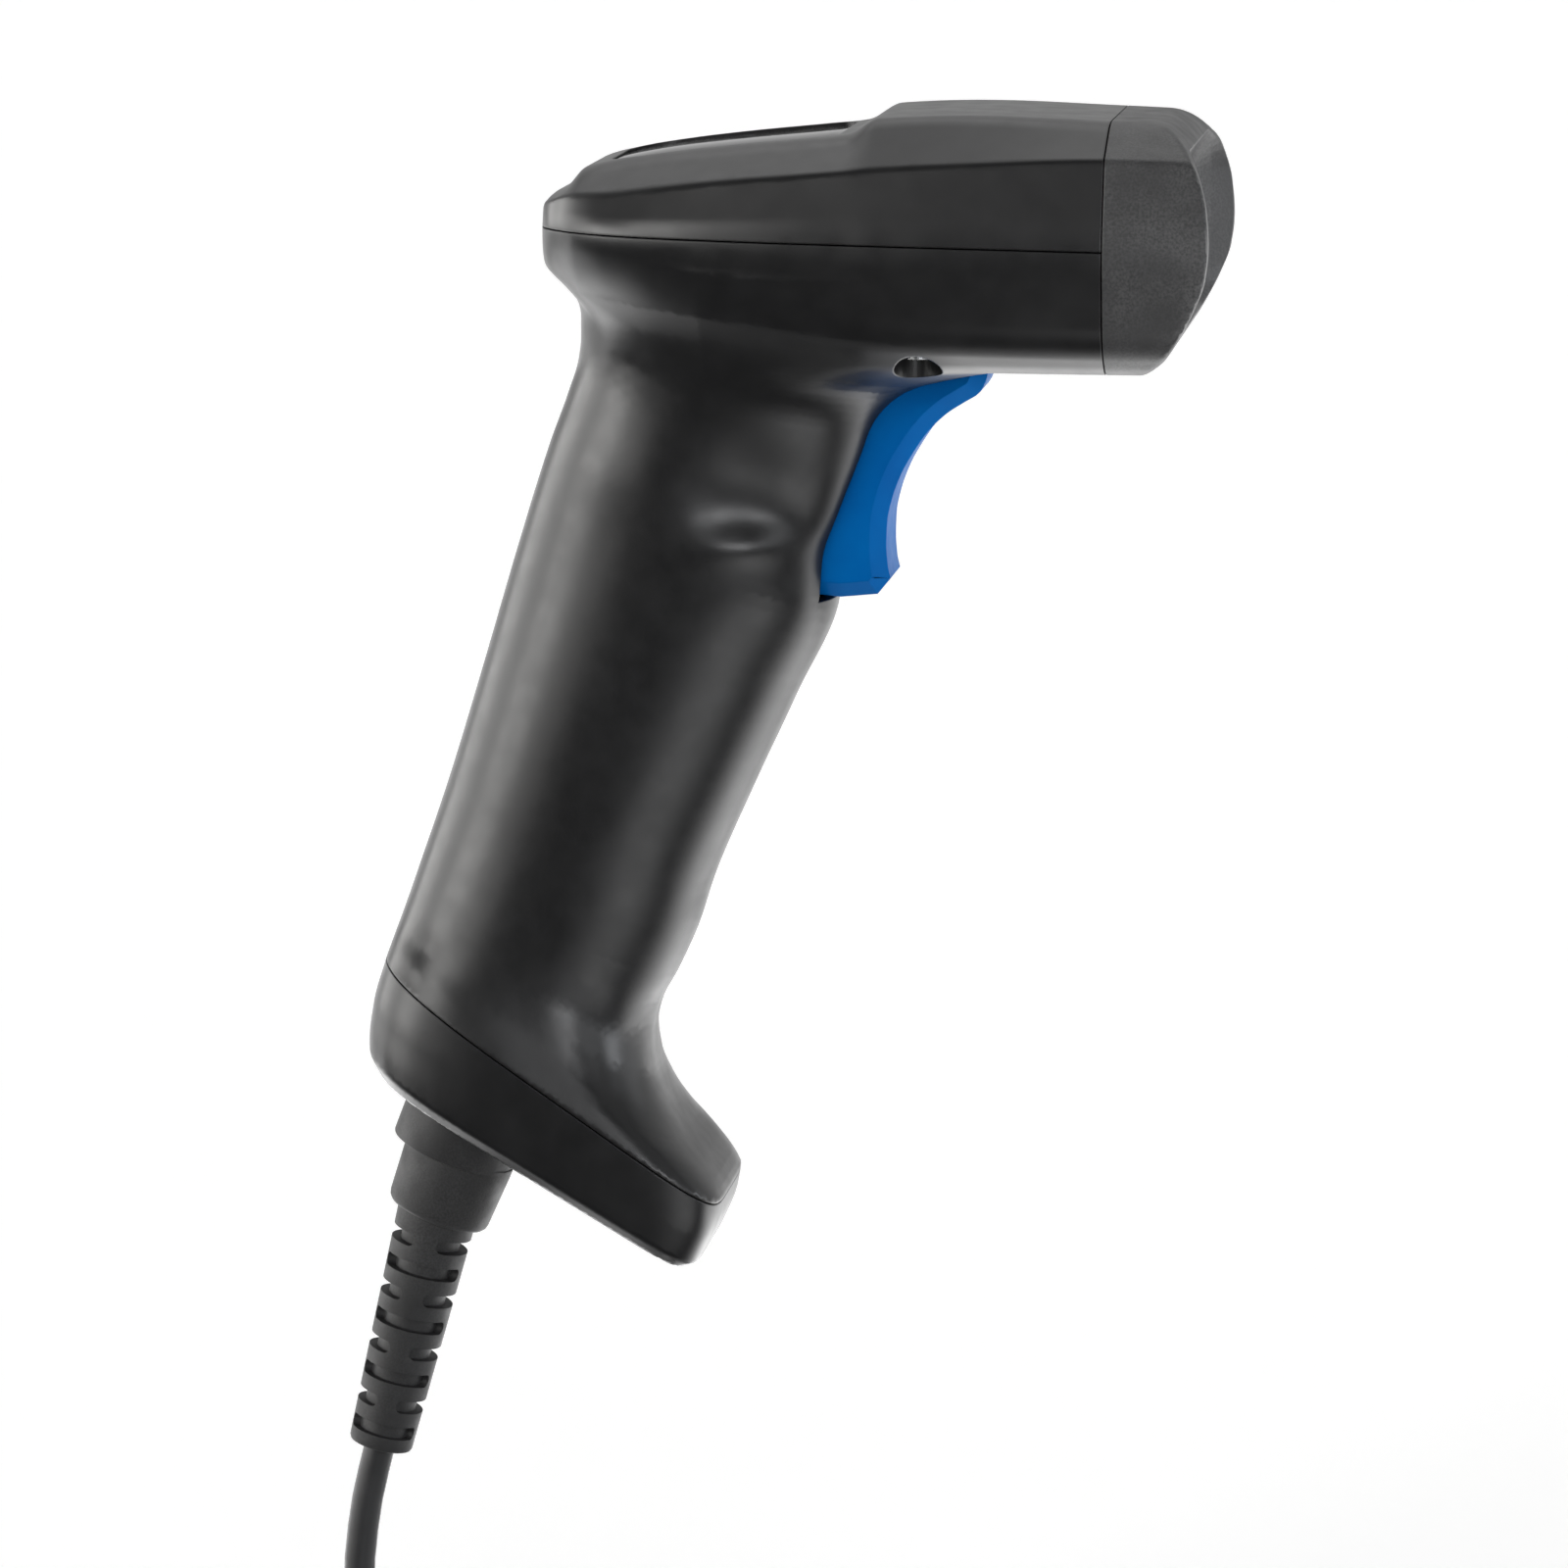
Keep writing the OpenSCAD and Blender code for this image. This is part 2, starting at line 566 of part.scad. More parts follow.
module plug_contacts() color(gold) at_grip() for (i = [-4.5:4.5])
    box([3.1, 3.14], [i * 1.02 - 0.2, i * 1.02 + 0.2], [-40, -33.5]);

module plug_latch() color([0.75, 0.78, 0.8, 0.9]) at_grip() across(1.6)
    polygon([[-3.3, -36], [-3.3, -34], [-5.2, -40], [-5.2, -53], [-4.4, -53], [-4.4, -40.4]]);

module cable_collar() color(rubber_black) at_grip() {
    translate([plug_tilt_x, 0, 0]) rod_z(8.9, [-61.8, -54]);
    rotate_extrude($fn = 48) polygon([[0, -61.8], [8, -61.8], [7.5, -70.2], [7.2, -70.9],
        [6.5, -71.2], [0, -71.2]]);
}

// Strain relief frame: starts at the collar's end and leans less than the grip
module at_relief() at_grip() translate([0, 0, relief_start]) rotate([0, -relief_bend, 0]) children();

module strain_relief() color(rubber_black) at_relief() difference() {
    rotate_extrude($fn = 48) polygon([[0, -0.7], [relief_r[0], -0.7], [relief_r[1], -relief_len],
        [0, -relief_len]]);
    for (i = [0:relief_levels - 1]) translate([0, 0, -2.6 - i * relief_pitch]) rotate([0, 0, i % 2 * 90])
        for (s = [-1, 1]) difference() {
            translate([s > 0 ? relief_bridge : -10 - relief_bridge, -10, -relief_slot])
                cube([10, 20, relief_slot]);
            rod_z(relief_r[0] * 0.8 - i * 0.12, [-3, 1]);
        }
}

module cable_lead() color(rubber_black) tube_along(lead_route, cable_r, 8, [0, 1, 0]);

module cable_coil() color(rubber_black) translate([coil_at[0], coil_at[1], floor_z])
    rotate_extrude($fn = 64) translate([coil_mid_r - coil_half_w, 0.02]) square([2 * coil_half_w, coil_h]);

module cable_tie() color(chip_black) translate([coil_at[0], coil_at[1], floor_z])
    rotate([0, 0, 20]) translate([coil_mid_r, 0, 0]) difference() {
        box([-coil_half_w - 1.6, coil_half_w + 1.6], [-4, 4], [0, coil_h + 1.6]);
        box([-coil_half_w - 0.6, coil_half_w + 0.6], [-5, 5], [-1, coil_h + 0.6]);
    }

module cable_tail() color(rubber_black) tube_along(tail_route, cable_r, 8, [0, 0, 1]);

// Plug frame: lying on the floor, pointing to -Y
module at_plug() translate(plug_at) rotate([90, 0, 0]) children();

module usb_grip() color(rubber_black) at_plug() {
    rotate_extrude($fn = 32) polygon([[0, 0], [2.9, 0], [3.9, 9], [3.9, 9.5], [0, 9.5]]);
    translate([-8, -4.2, 9.5]) cube([16, 8.4, 24]);
}

module usb_shell() color(steel) at_plug() difference() {
    translate([-6, -2.25, 33.5]) cube([12, 4.5, 12.3]);
    translate([-5.7, -1.95, 33.4]) cube([11.4, 3.9, 13]);
}

module usb_tongue() color([0.92, 0.92, 0.94]) at_plug()
    translate([-5.6, -1.9, 33.5]) cube([11.2, 1.85, 11.6]);

module usb_contacts() color(gold) at_plug() for (x = [-3.5, -1, 1, 3.5])
    translate([x - 0.5, -0.05, 36]) cube([1, 0.15, 8.5]);

// ---- Assembly ----

lower_housing();
top_cover();
deck_inlay();
front_bezel();
scan_window();
window_gasket();
base_cap();
cap_screw();
housing_screws();
main_board();
main_processor();
board_chips();
board_connectors();
board_screws();
beeper();
status_leds();
status_light_guide();
engine_bracket();
engine_chassis();
imager_board();
image_sensor();
lens_barrel();
lens_glass();
aimer_module();
illumination_board();
illumination_leds();
ribbon_cable();
handle_harness();
handle_board();
modular_jack();
jack_contacts();
trigger_bracket();
trigger_pin();
switch_board();
trigger_switch();
switch_plunger();
trigger_spring();
trigger();
modular_plug();
plug_contacts();
plug_latch();
cable_collar();
strain_relief();
cable_lead();
cable_coil();
cable_tie();
cable_tail();
usb_grip();
usb_shell();
usb_tongue();
usb_contacts();
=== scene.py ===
# Looks for the handheld barcode scanner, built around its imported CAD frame.
# Lengths in the tables are millimetres in the frame's own axes; MM turns them into metres.
import math

import bmesh
import bpy
import numpy as np
from mathutils import Matrix, Vector


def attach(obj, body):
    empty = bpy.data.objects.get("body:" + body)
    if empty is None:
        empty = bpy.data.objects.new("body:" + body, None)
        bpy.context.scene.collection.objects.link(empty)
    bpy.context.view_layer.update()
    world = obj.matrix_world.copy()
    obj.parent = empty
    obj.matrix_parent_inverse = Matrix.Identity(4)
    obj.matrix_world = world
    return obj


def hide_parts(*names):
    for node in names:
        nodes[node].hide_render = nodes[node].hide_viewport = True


MM = 0.001
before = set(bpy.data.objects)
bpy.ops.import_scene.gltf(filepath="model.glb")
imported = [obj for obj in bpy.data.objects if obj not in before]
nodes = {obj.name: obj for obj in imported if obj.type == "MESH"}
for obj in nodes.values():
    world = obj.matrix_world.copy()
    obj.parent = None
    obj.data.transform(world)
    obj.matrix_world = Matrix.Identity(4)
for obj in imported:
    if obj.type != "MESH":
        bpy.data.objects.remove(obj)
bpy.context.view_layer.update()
scene = bpy.context.scene

# ---- Camera -------------------------------------------------------------------------------

CAMERA_TO = Vector((0.025, 0, -0.003))
CAMERA_AROUND = 7.0  # degrees from the scanner's side towards its nose
CAMERA_AWAY = 1.05
CAMERA_HEIGHT = 0.17
CAMERA_FOV = 11.92
CAMERA_AT = Vector((CAMERA_TO.x + CAMERA_AWAY * math.sin(math.radians(CAMERA_AROUND)),
                    -CAMERA_AWAY * math.cos(math.radians(CAMERA_AROUND)), CAMERA_HEIGHT))

camera = bpy.data.objects.new("camera", bpy.data.cameras.new("camera"))
scene.collection.objects.link(camera)
camera.location = CAMERA_AT
camera.rotation_euler = (CAMERA_TO - CAMERA_AT).to_track_quat("-Z", "Y").to_euler()
camera.data.sensor_width = 36
camera.data.lens_unit = "FOV"
camera.data.angle = math.radians(CAMERA_FOV)
camera.data.clip_start = 0.02
camera.data.clip_end = 60
scene.camera = camera
scene.view_settings.view_transform = "Standard"

# ---- Mesh helpers -------------------------------------------------------------------------


def new_object(name, verts, faces):
    """Object whose points are given in millimetres."""
    mesh = bpy.data.meshes.new(name)
    mesh.from_pydata([tuple(c * MM for c in v) for v in verts], [], [list(f) for f in faces])
    mesh.validate()
    obj = bpy.data.objects.new(name, mesh)
    scene.collection.objects.link(obj)
    return obj


def edit(obj, change):
    """Runs change(bm) on the object's mesh."""
    bm = bmesh.new()
    bm.from_mesh(obj.data)
    change(bm)
    bm.to_mesh(obj.data)
    bm.free()
    obj.data.update()
    return obj


def outward(obj):
    return edit(obj, lambda bm: bmesh.ops.recalc_face_normals(bm, faces=bm.faces))


def shade(obj, angle=32):
    """Smooth shading that stays sharp where faces meet at more than the angle."""
    limit = math.radians(angle)

    def mark(bm):
        for f in bm.faces:
            f.smooth = True
        for e in bm.edges:
            e.smooth = len(e.link_faces) == 2 and e.calc_face_angle(0) < limit

    return edit(obj, mark)


def apply_modifiers(obj):
    graph = bpy.context.evaluated_depsgraph_get()
    mesh = bpy.data.meshes.new_from_object(obj.evaluated_get(graph))
    obj.modifiers.clear()
    obj.data = mesh
    return obj


def boolean(obj, tool, operation="DIFFERENCE"):
    mod = obj.modifiers.new("cut", "BOOLEAN")
    mod.operation = operation
    mod.solver = "MANIFOLD"
    mod.object = tool
    apply_modifiers(obj)
    bpy.data.objects.remove(tool)
    return obj


def bevel_edges(obj, width, segments=2, angle=30):
    """Bevels the edges sharper than the angle."""
    limit = math.radians(angle)

    def cut(bm):
        edges = [e for e in bm.edges if len(e.link_faces) == 2 and e.calc_face_angle(0) > limit]
        bmesh.ops.bevel(bm, geom=edges, offset=width * MM, segments=segments, profile=0.5,
                        affect="EDGES", clamp_overlap=True)

    return edit(obj, cut)


def loft(name, rings):
    """Closed body through rings of equally many points."""
    n = len(rings[0])
    verts = [p for ring in rings for p in ring]
    faces = [range(n), range((len(rings) - 1) * n, len(rings) * n)]
    for i in range(len(rings) - 1):
        for j in range(n):
            k = (j + 1) % n
            faces.append((i * n + j, i * n + k, (i + 1) * n + k, (i + 1) * n + j))
    return outward(new_object(name, verts, faces))


def prism(name, outline, half_w):
    """Side view outline, given as x and z, carried across the width."""
    return loft(name, [[(p[0], s * half_w, p[1]) for p in outline] for s in (-1, 1)])


def lathe(name, profile, steps=48):
    """Body of revolution about Z from (radius, z) points, closed on the axis at both ends."""
    rings = [[(r * math.cos(2 * math.pi * j / steps), r * math.sin(2 * math.pi * j / steps), z)
              for j in range(steps)] for r, z in profile]
    return loft(name, rings)


def place(obj, matrix):
    obj.data.transform(matrix)
    obj.data.update()
    return obj


def shift(x, y, z):
    return Matrix.Translation(Vector((x, y, z)) * MM)


def turn(degrees, axis):
    return Matrix.Rotation(math.radians(degrees), 4, axis)


def round_corners(half_w, half_h, r, step):
    """Points of a rounded rectangle, a corner at a time."""
    points = []
    for side, end, start in ((1, 1, 0), (-1, 1, 90), (-1, -1, 180), (1, -1, 270)):
        for a in range(0, 91, step):
            angle = math.radians(start + a)
            points.append((side * (half_w - r) + r * math.cos(angle),
                           end * (half_h - r) + r * math.sin(angle)))
    return points


def join(name, parts):
    bm = bmesh.new()
    for part in parts:
        bm.from_mesh(part.data)
        bpy.data.objects.remove(part)
    mesh = bpy.data.meshes.new(name)
    bm.to_mesh(mesh)
    bm.free()
    obj = bpy.data.objects.new(name, mesh)
    scene.collection.objects.link(obj)
    return obj


def piece(obj, body, finish, replaced=()):
    """Visible piece that rides on a body, in the place of the frame's nodes named in replaced."""
    obj.data.materials.clear()
    obj.data.materials.append(finish)
    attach(obj, body)
    if replaced:
        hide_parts(*replaced)
    return obj


# ---- Materials ----------------------------------------------------------------------------


def material(name, colour, rough, metallic=0.0, grain=None, soft_grain=None, rough_vary=0.05,
             edge=0.0, tint=None, mottle=0.0, **sockets):
    """Moulded or metal finish: colour and roughness that vary, two scales of bump, rounded edges.

    grain and soft_grain are (size in mm, height in mm); edge is the radius that sharp edges get.
    """
    mat = bpy.data.materials.new(name)
    mat.use_nodes = True
    tree = mat.node_tree
    shader = tree.nodes["Principled BSDF"]
    link = tree.links.new

    def node(kind, **values):
        n = tree.nodes.new(kind)
        for key, value in values.items():
            if hasattr(n, key):
                setattr(n, key, value)
            else:
                n.inputs[key.replace("_", " ")].default_value = value
        return n

    coords = node("ShaderNodeTexCoord")

    def noise(size, detail=2.0):
        n = node("ShaderNodeTexNoise", Scale=1 / (size * MM), Detail=detail)
        link(coords.outputs["Object"], n.inputs["Vector"])
        return n.outputs["Fac"]

    def remap(value, low, high):
        n = node("ShaderNodeMapRange")
        n.inputs["From Min"].default_value = 0.3
        n.inputs["From Max"].default_value = 0.7
        n.inputs["To Min"].default_value = low
        n.inputs["To Max"].default_value = high
        link(value, n.inputs["Value"])
        return n.outputs["Result"]

    shader.inputs["Metallic"].default_value = metallic
    for key, value in sockets.items():
        shader.inputs[key.replace("_", " ")].default_value = value

    # Colour drifts a little over the surface, with a finer mottle where asked
    second = tint or tuple(min(1, c * 1.25 + 0.002) for c in colour)
    mix = node("ShaderNodeMix", data_type="RGBA")
    mix.inputs["A"].default_value = (*colour, 1)
    mix.inputs["B"].default_value = (*second, 1)
    drift = remap(noise(9.0, 3.0), 0.0, 1.0)
    if mottle:
        speck = remap(noise(mottle, 1.0), 0.0, 1.0)
        blend = node("ShaderNodeMath", operation="MULTIPLY")
        link(drift, blend.inputs[0])
        link(speck, blend.inputs[1])
        drift = blend.outputs[0]
    link(drift, mix.inputs["Factor"])
    link(mix.outputs["Result"], shader.inputs["Base Color"])
    link(remap(noise(3.5, 4.0), rough - rough_vary, rough + rough_vary), shader.inputs["Roughness"])

    normal = None
    if edge:
        bevel = node("ShaderNodeBevel", samples=4, Radius=edge * MM)
        normal = bevel.outputs["Normal"]
    for layer in (soft_grain, grain):
        if layer:
            bump = node("ShaderNodeBump", Strength=1.0, Distance=layer[1] * MM)
            link(noise(layer[0], 1.5), bump.inputs["Height"])
            if normal is not None:
                link(normal, bump.inputs["Normal"])
            normal = bump.outputs["Normal"]
    if normal is not None:
        link(normal, shader.inputs["Normal"])
    return mat


FINISH = {
    "housing": material("housing_black", (0.0065, 0.0065, 0.007), 0.31, grain=(0.22, 0.004),
                        soft_grain=(9, 0.003), rough_vary=0.03, edge=0.3),
    "bezel": material("bezel_grey", (0.028, 0.028, 0.029), 0.42, grain=(0.3, 0.012),
                      tint=(0.07, 0.07, 0.071), mottle=0.35, edge=0.3),
    "deck": material("deck_gloss", (0.012, 0.012, 0.013), 0.07, rough_vary=0.02,
                     Coat_Weight=0.3),
    "window": material("window_glass", (0.09, 0.004, 0.006), 0.06, rough_vary=0.02, edge=0.2,
                       soft_grain=(8, 0.004), Transmission_Weight=0.35),
    "trigger": material("trigger_blue", (0.0, 0.1, 0.36), 0.4, grain=(0.25, 0.003),
                        soft_grain=(6, 0.004), tint=(0.0, 0.125, 0.42), edge=0.3,
                        Specular_IOR_Level=0.03),
    "rubber": material("rubber_black", (0.012, 0.012, 0.0125), 0.6, grain=(0.3, 0.02),
                       tint=(0.03, 0.03, 0.031), mottle=0.3, rough_vary=0.08, edge=0.2),
    "cable": material("cable_jacket", (0.012, 0.012, 0.013), 0.5, grain=(0.35, 0.01),
                      soft_grain=(4, 0.02), rough_vary=0.06),
    "board": material("board_green", (0.01, 0.07, 0.03), 0.35, grain=(0.6, 0.01),
                      tint=(0.012, 0.1, 0.045), mottle=0.8, edge=0.1),
    "chip": material("chip_black", (0.02, 0.02, 0.022), 0.55, grain=(0.15, 0.01), edge=0.1),
    "connector": material("connector_cream", (0.62, 0.6, 0.5), 0.45, grain=(0.3, 0.006), edge=0.1),
    "dark_plastic": material("dark_plastic", (0.04, 0.04, 0.042), 0.5, grain=(0.25, 0.008),
                             edge=0.15),
    "steel": material("steel", (0.56, 0.57, 0.58), 0.28, 1.0, grain=(0.5, 0.004),
                      rough_vary=0.1, edge=0.12),
    "alloy": material("cast_alloy", (0.5, 0.5, 0.52), 0.45, 1.0, grain=(0.4, 0.02), edge=0.15),
    "gold": material("gold_plate", (0.83, 0.55, 0.2), 0.25, 1.0, grain=(0.4, 0.003), edge=0.05),
    "clear": material("clear_plastic", (0.85, 0.88, 0.9), 0.15, soft_grain=(3, 0.01), edge=0.15,
                      Transmission_Weight=0.85),
    "lens": material("coated_glass", (0.45, 0.38, 0.6), 0.03, rough_vary=0.01, edge=0.1,
                     Transmission_Weight=0.8),
    "flex": material("flex_film", (0.5, 0.26, 0.06), 0.3, grain=(0.5, 0.004), edge=0.05),
    "led": material("led_lens", (0.85, 0.8, 0.55), 0.25, grain=(0.3, 0.004), edge=0.1,
                    Transmission_Weight=0.3),
    "switch_red": material("switch_red", (0.55, 0.03, 0.02), 0.4, grain=(0.25, 0.006), edge=0.15),
    "white": material("white_plastic", (0.75, 0.75, 0.74), 0.4, grain=(0.3, 0.004), edge=0.1),
}

# ---- Stage and light ----------------------------------------------------------------------

FLOOR_Z = -160.0


def ramp(tree, from_range, to_range):
    """Smooth step from one range of values to another."""
    node = tree.nodes.new("ShaderNodeMapRange")
    node.interpolation_type = "SMOOTHSTEP"
    for key, pair in (("From", from_range), ("To", to_range)):
        node.inputs[key + " Min"].default_value = pair[0]
        node.inputs[key + " Max"].default_value = pair[1]
    return node


def larger(tree):
    node = tree.nodes.new("ShaderNodeMath")
    node.operation = "MAXIMUM"
    return node


def paint_floor(paint):
    """Pale to the eye. In reflections and bounce light it glows near the scanner and is dark from
    there towards the camera. On that dark part lies a painted glowing patch that stands in for a
    reflector card."""
    tree = paint.node_tree
    where = tree.nodes.new("ShaderNodeNewGeometry")
    split = tree.nodes.new("ShaderNodeSeparateXYZ")
    ray = tree.nodes.new("ShaderNodeLightPath")
    behind = ramp(tree, (-0.08, 0.14), (0, 1))
    pale = larger(tree)

    glow = tree.nodes.new("ShaderNodeEmission")
    glow_reflected = ramp(tree, (0.1, 0.4), (3, 0.6))
    glow_strength = tree.nodes.new("ShaderNodeMapRange")
    glow_strength.inputs["To Max"].default_value = 0.35
    bright = tree.nodes.new("ShaderNodeAddShader")

    dark = tree.nodes.new("ShaderNodeBsdfDiffuse")
    dark.inputs["Color"].default_value = (0.08, 0.08, 0.08, 1)
    # Painted glow: an emitting patch on the floor, seen only in reflections and bounce light, in
    # place of a reflector card
    painted_glow_distance = tree.nodes.new("ShaderNodeVectorMath")
    painted_glow_distance.operation = "DISTANCE"
    painted_glow_distance.inputs[1].default_value = (0.24, -0.33, FLOOR_Z * MM)
    painted_glow_strength = ramp(tree, (0.06, 0.26), (2.4, 0))
    painted_glow_patch = tree.nodes.new("ShaderNodeEmission")
    front = tree.nodes.new("ShaderNodeAddShader")
    blend = tree.nodes.new("ShaderNodeMixShader")

    for a, b in ((where.outputs["Position"], split.inputs[0]),
                 (split.outputs["Y"], behind.inputs["Value"]),
                 (behind.outputs["Result"], pale.inputs[0]),
                 (ray.outputs["Is Camera Ray"], pale.inputs[1]),
                 (split.outputs["Y"], glow_reflected.inputs["Value"]),
                 (glow_reflected.outputs["Result"], glow_strength.inputs["To Min"]),
                 (ray.outputs["Is Camera Ray"], glow_strength.inputs["Value"]),
                 (glow_strength.outputs["Result"], glow.inputs["Strength"]),
                 (tree.nodes["Principled BSDF"].outputs[0], bright.inputs[0]),
                 (glow.outputs[0], bright.inputs[1]),
                 (where.outputs["Position"], painted_glow_distance.inputs[0]),
                 (painted_glow_distance.outputs["Value"], painted_glow_strength.inputs["Value"]),
                 (painted_glow_strength.outputs["Result"], painted_glow_patch.inputs["Strength"]),
                 (dark.outputs[0], front.inputs[0]),
                 (painted_glow_patch.outputs[0], front.inputs[1]),
                 (pale.outputs[0], blend.inputs[0]),
                 (front.outputs[0], blend.inputs[1]),
                 (bright.outputs[0], blend.inputs[2]),
                 (blend.outputs[0], tree.nodes["Material Output"].inputs["Surface"])):
        tree.links.new(a, b)


def build_world():
    """White to the eye. In reflections it is bright behind the scanner and dim in front of it."""
    world = bpy.data.worlds.new("studio")
    world.use_nodes = True
    scene.world = world
    tree = world.node_tree
    view = tree.nodes.new("ShaderNodeTexCoord")
    split = tree.nodes.new("ShaderNodeSeparateXYZ")
    level = ramp(tree, (-0.35, 0.35), (0.08, 0.55))
    ray = tree.nodes.new("ShaderNodeLightPath")
    strength = larger(tree)
    back = tree.nodes["Background"]
    for a, b in ((view.outputs["Generated"], split.inputs[0]),
                 (split.outputs["Y"], level.inputs["Value"]),
                 (level.outputs["Result"], strength.inputs[0]),
                 (ray.outputs["Is Camera Ray"], strength.inputs[1]),
                 (strength.outputs[0], back.inputs["Strength"])):
        tree.links.new(a, b)
    back.inputs["Color"].default_value = (1, 1, 1, 1)


COOL, NEAR_WHITE, WHITE, WARM = (0.93, 0.96, 1), (0.97, 0.98, 1), (1, 1, 1), (1, 0.99, 0.97)
# Soft boxes far away. Degrees around from the scanner's side towards its nose, degrees above
# the floor, strength, spread in degrees, colour
SOFTBOXES = [
    (82, 6, 0.8, 28, COOL), (112, 8, 0.2, 36, COOL), (48, 6, 0.35, 30, (0.95, 0.97, 1)),
    (20, 4, 0.7, 20, NEAR_WHITE), (60, 34, 0.1, 36, WHITE), (322, 26, 0.7, 24, WARM),
    (297, 6, 1.2, 26, WARM), (322, 6, 0.7, 30, WARM), (270, 8, 0.9, 34, WARM),
    (243, 10, 0.6, 26, WARM), (200, 58, 0.35, 50, WHITE), (0, 32, 0.12, 40, WHITE)]


def build_stage():
    size = 12000
    floor = new_object("floor", [(-size, -size, FLOOR_Z), (size, -size, FLOOR_Z),
                                 (size, size, FLOOR_Z), (-size, size, FLOOR_Z)], [(0, 1, 2, 3)])
    paint = material("floor_white", (0.86, 0.86, 0.86), 0.9, tint=(0.87, 0.87, 0.87),
                     Specular_IOR_Level=0.1)
    floor.data.materials.append(paint)
    paint_floor(paint)
    build_world()
    for i, (around, above, strength, spread, colour) in enumerate(SOFTBOXES):
        data = bpy.data.lights.new("softbox", "SUN")
        data.energy = strength
        data.angle = math.radians(spread)
        data.color = colour
        lamp = bpy.data.objects.new("softbox_%d" % i, data)
        scene.collection.objects.link(lamp)
        a, e = math.radians(around), math.radians(above)
        towards = Vector((-math.sin(a) * math.cos(e), math.cos(a) * math.cos(e), -math.sin(e)))
        lamp.rotation_euler = towards.to_track_quat("-Z", "Y").to_euler()


build_stage()

# ---- Cable --------------------------------------------------------------------------------

CABLE_R = 2.25
LEAD_ROUTE = [
    (-33.9, 0, -101), (-34.9, 0, -105), (-35.8, 0, -109), (-36.5, 0, -113.5), (-37, 0, -118),
    (-37.2, 0, -123), (-36.8, 0, -129), (-35.2, 0, -135.5), (-32.2, 0, -142), (-27.8, 0, -148),
    (-22, 0, -153), (-15, 0, -156.3), (-7, 0, -157.7), (2, 0, -157.7), (8, 0, -157.75)]
COIL_AT = (14, 32.1)
COIL_R = (21.4, 32.1)
COIL_TURNS = 2.375
COIL_LAYERS = 4
TAIL_ROUTE = [
    (4, 64.2, -144.25), (-3, 64.1, -144.6), (-9.5, 63.2, -146), (-15.5, 61.2, -148.4),
    (-20.8, 58.1, -151.2), (-25.5, 54, -153.8), (-29.3, 49.2, -155.2), (-32.3, 44, -155.8),
    (-34.3, 39.5, -155.8), (-35, 36.05, -155.6)]
PLUG_AT = (-35, 36, -155.6)


def coil_points(per_turn=24):
    """Layers wound outside to inside and back, each lying on the one below."""
    points = []
    steps = int(COIL_TURNS * per_turn)
    total = steps * COIL_LAYERS
    rise = per_turn / 7
    for i in range(total + 1):
        layer = min(i // steps, COIL_LAYERS - 1)
        part = (i - layer * steps) / steps
        inward = layer % 2 == 0
        r = COIL_R[1] + (COIL_R[0] - COIL_R[1]) * (part if inward else 1 - part)
        angle = -math.pi / 2 + 2 * math.pi * i / per_turn
        height = 0.0
        for k in range(1, COIL_LAYERS):
            t = min(1, max(0, (i - k * steps) / rise / 2 + 0.5))
            height += t * t * (3 - 2 * t)
        points.append((COIL_AT[0] + r * math.cos(angle), COIL_AT[1] + r * math.sin(angle),
                       FLOOR_Z + CABLE_R + 2 * CABLE_R * height))
    return points


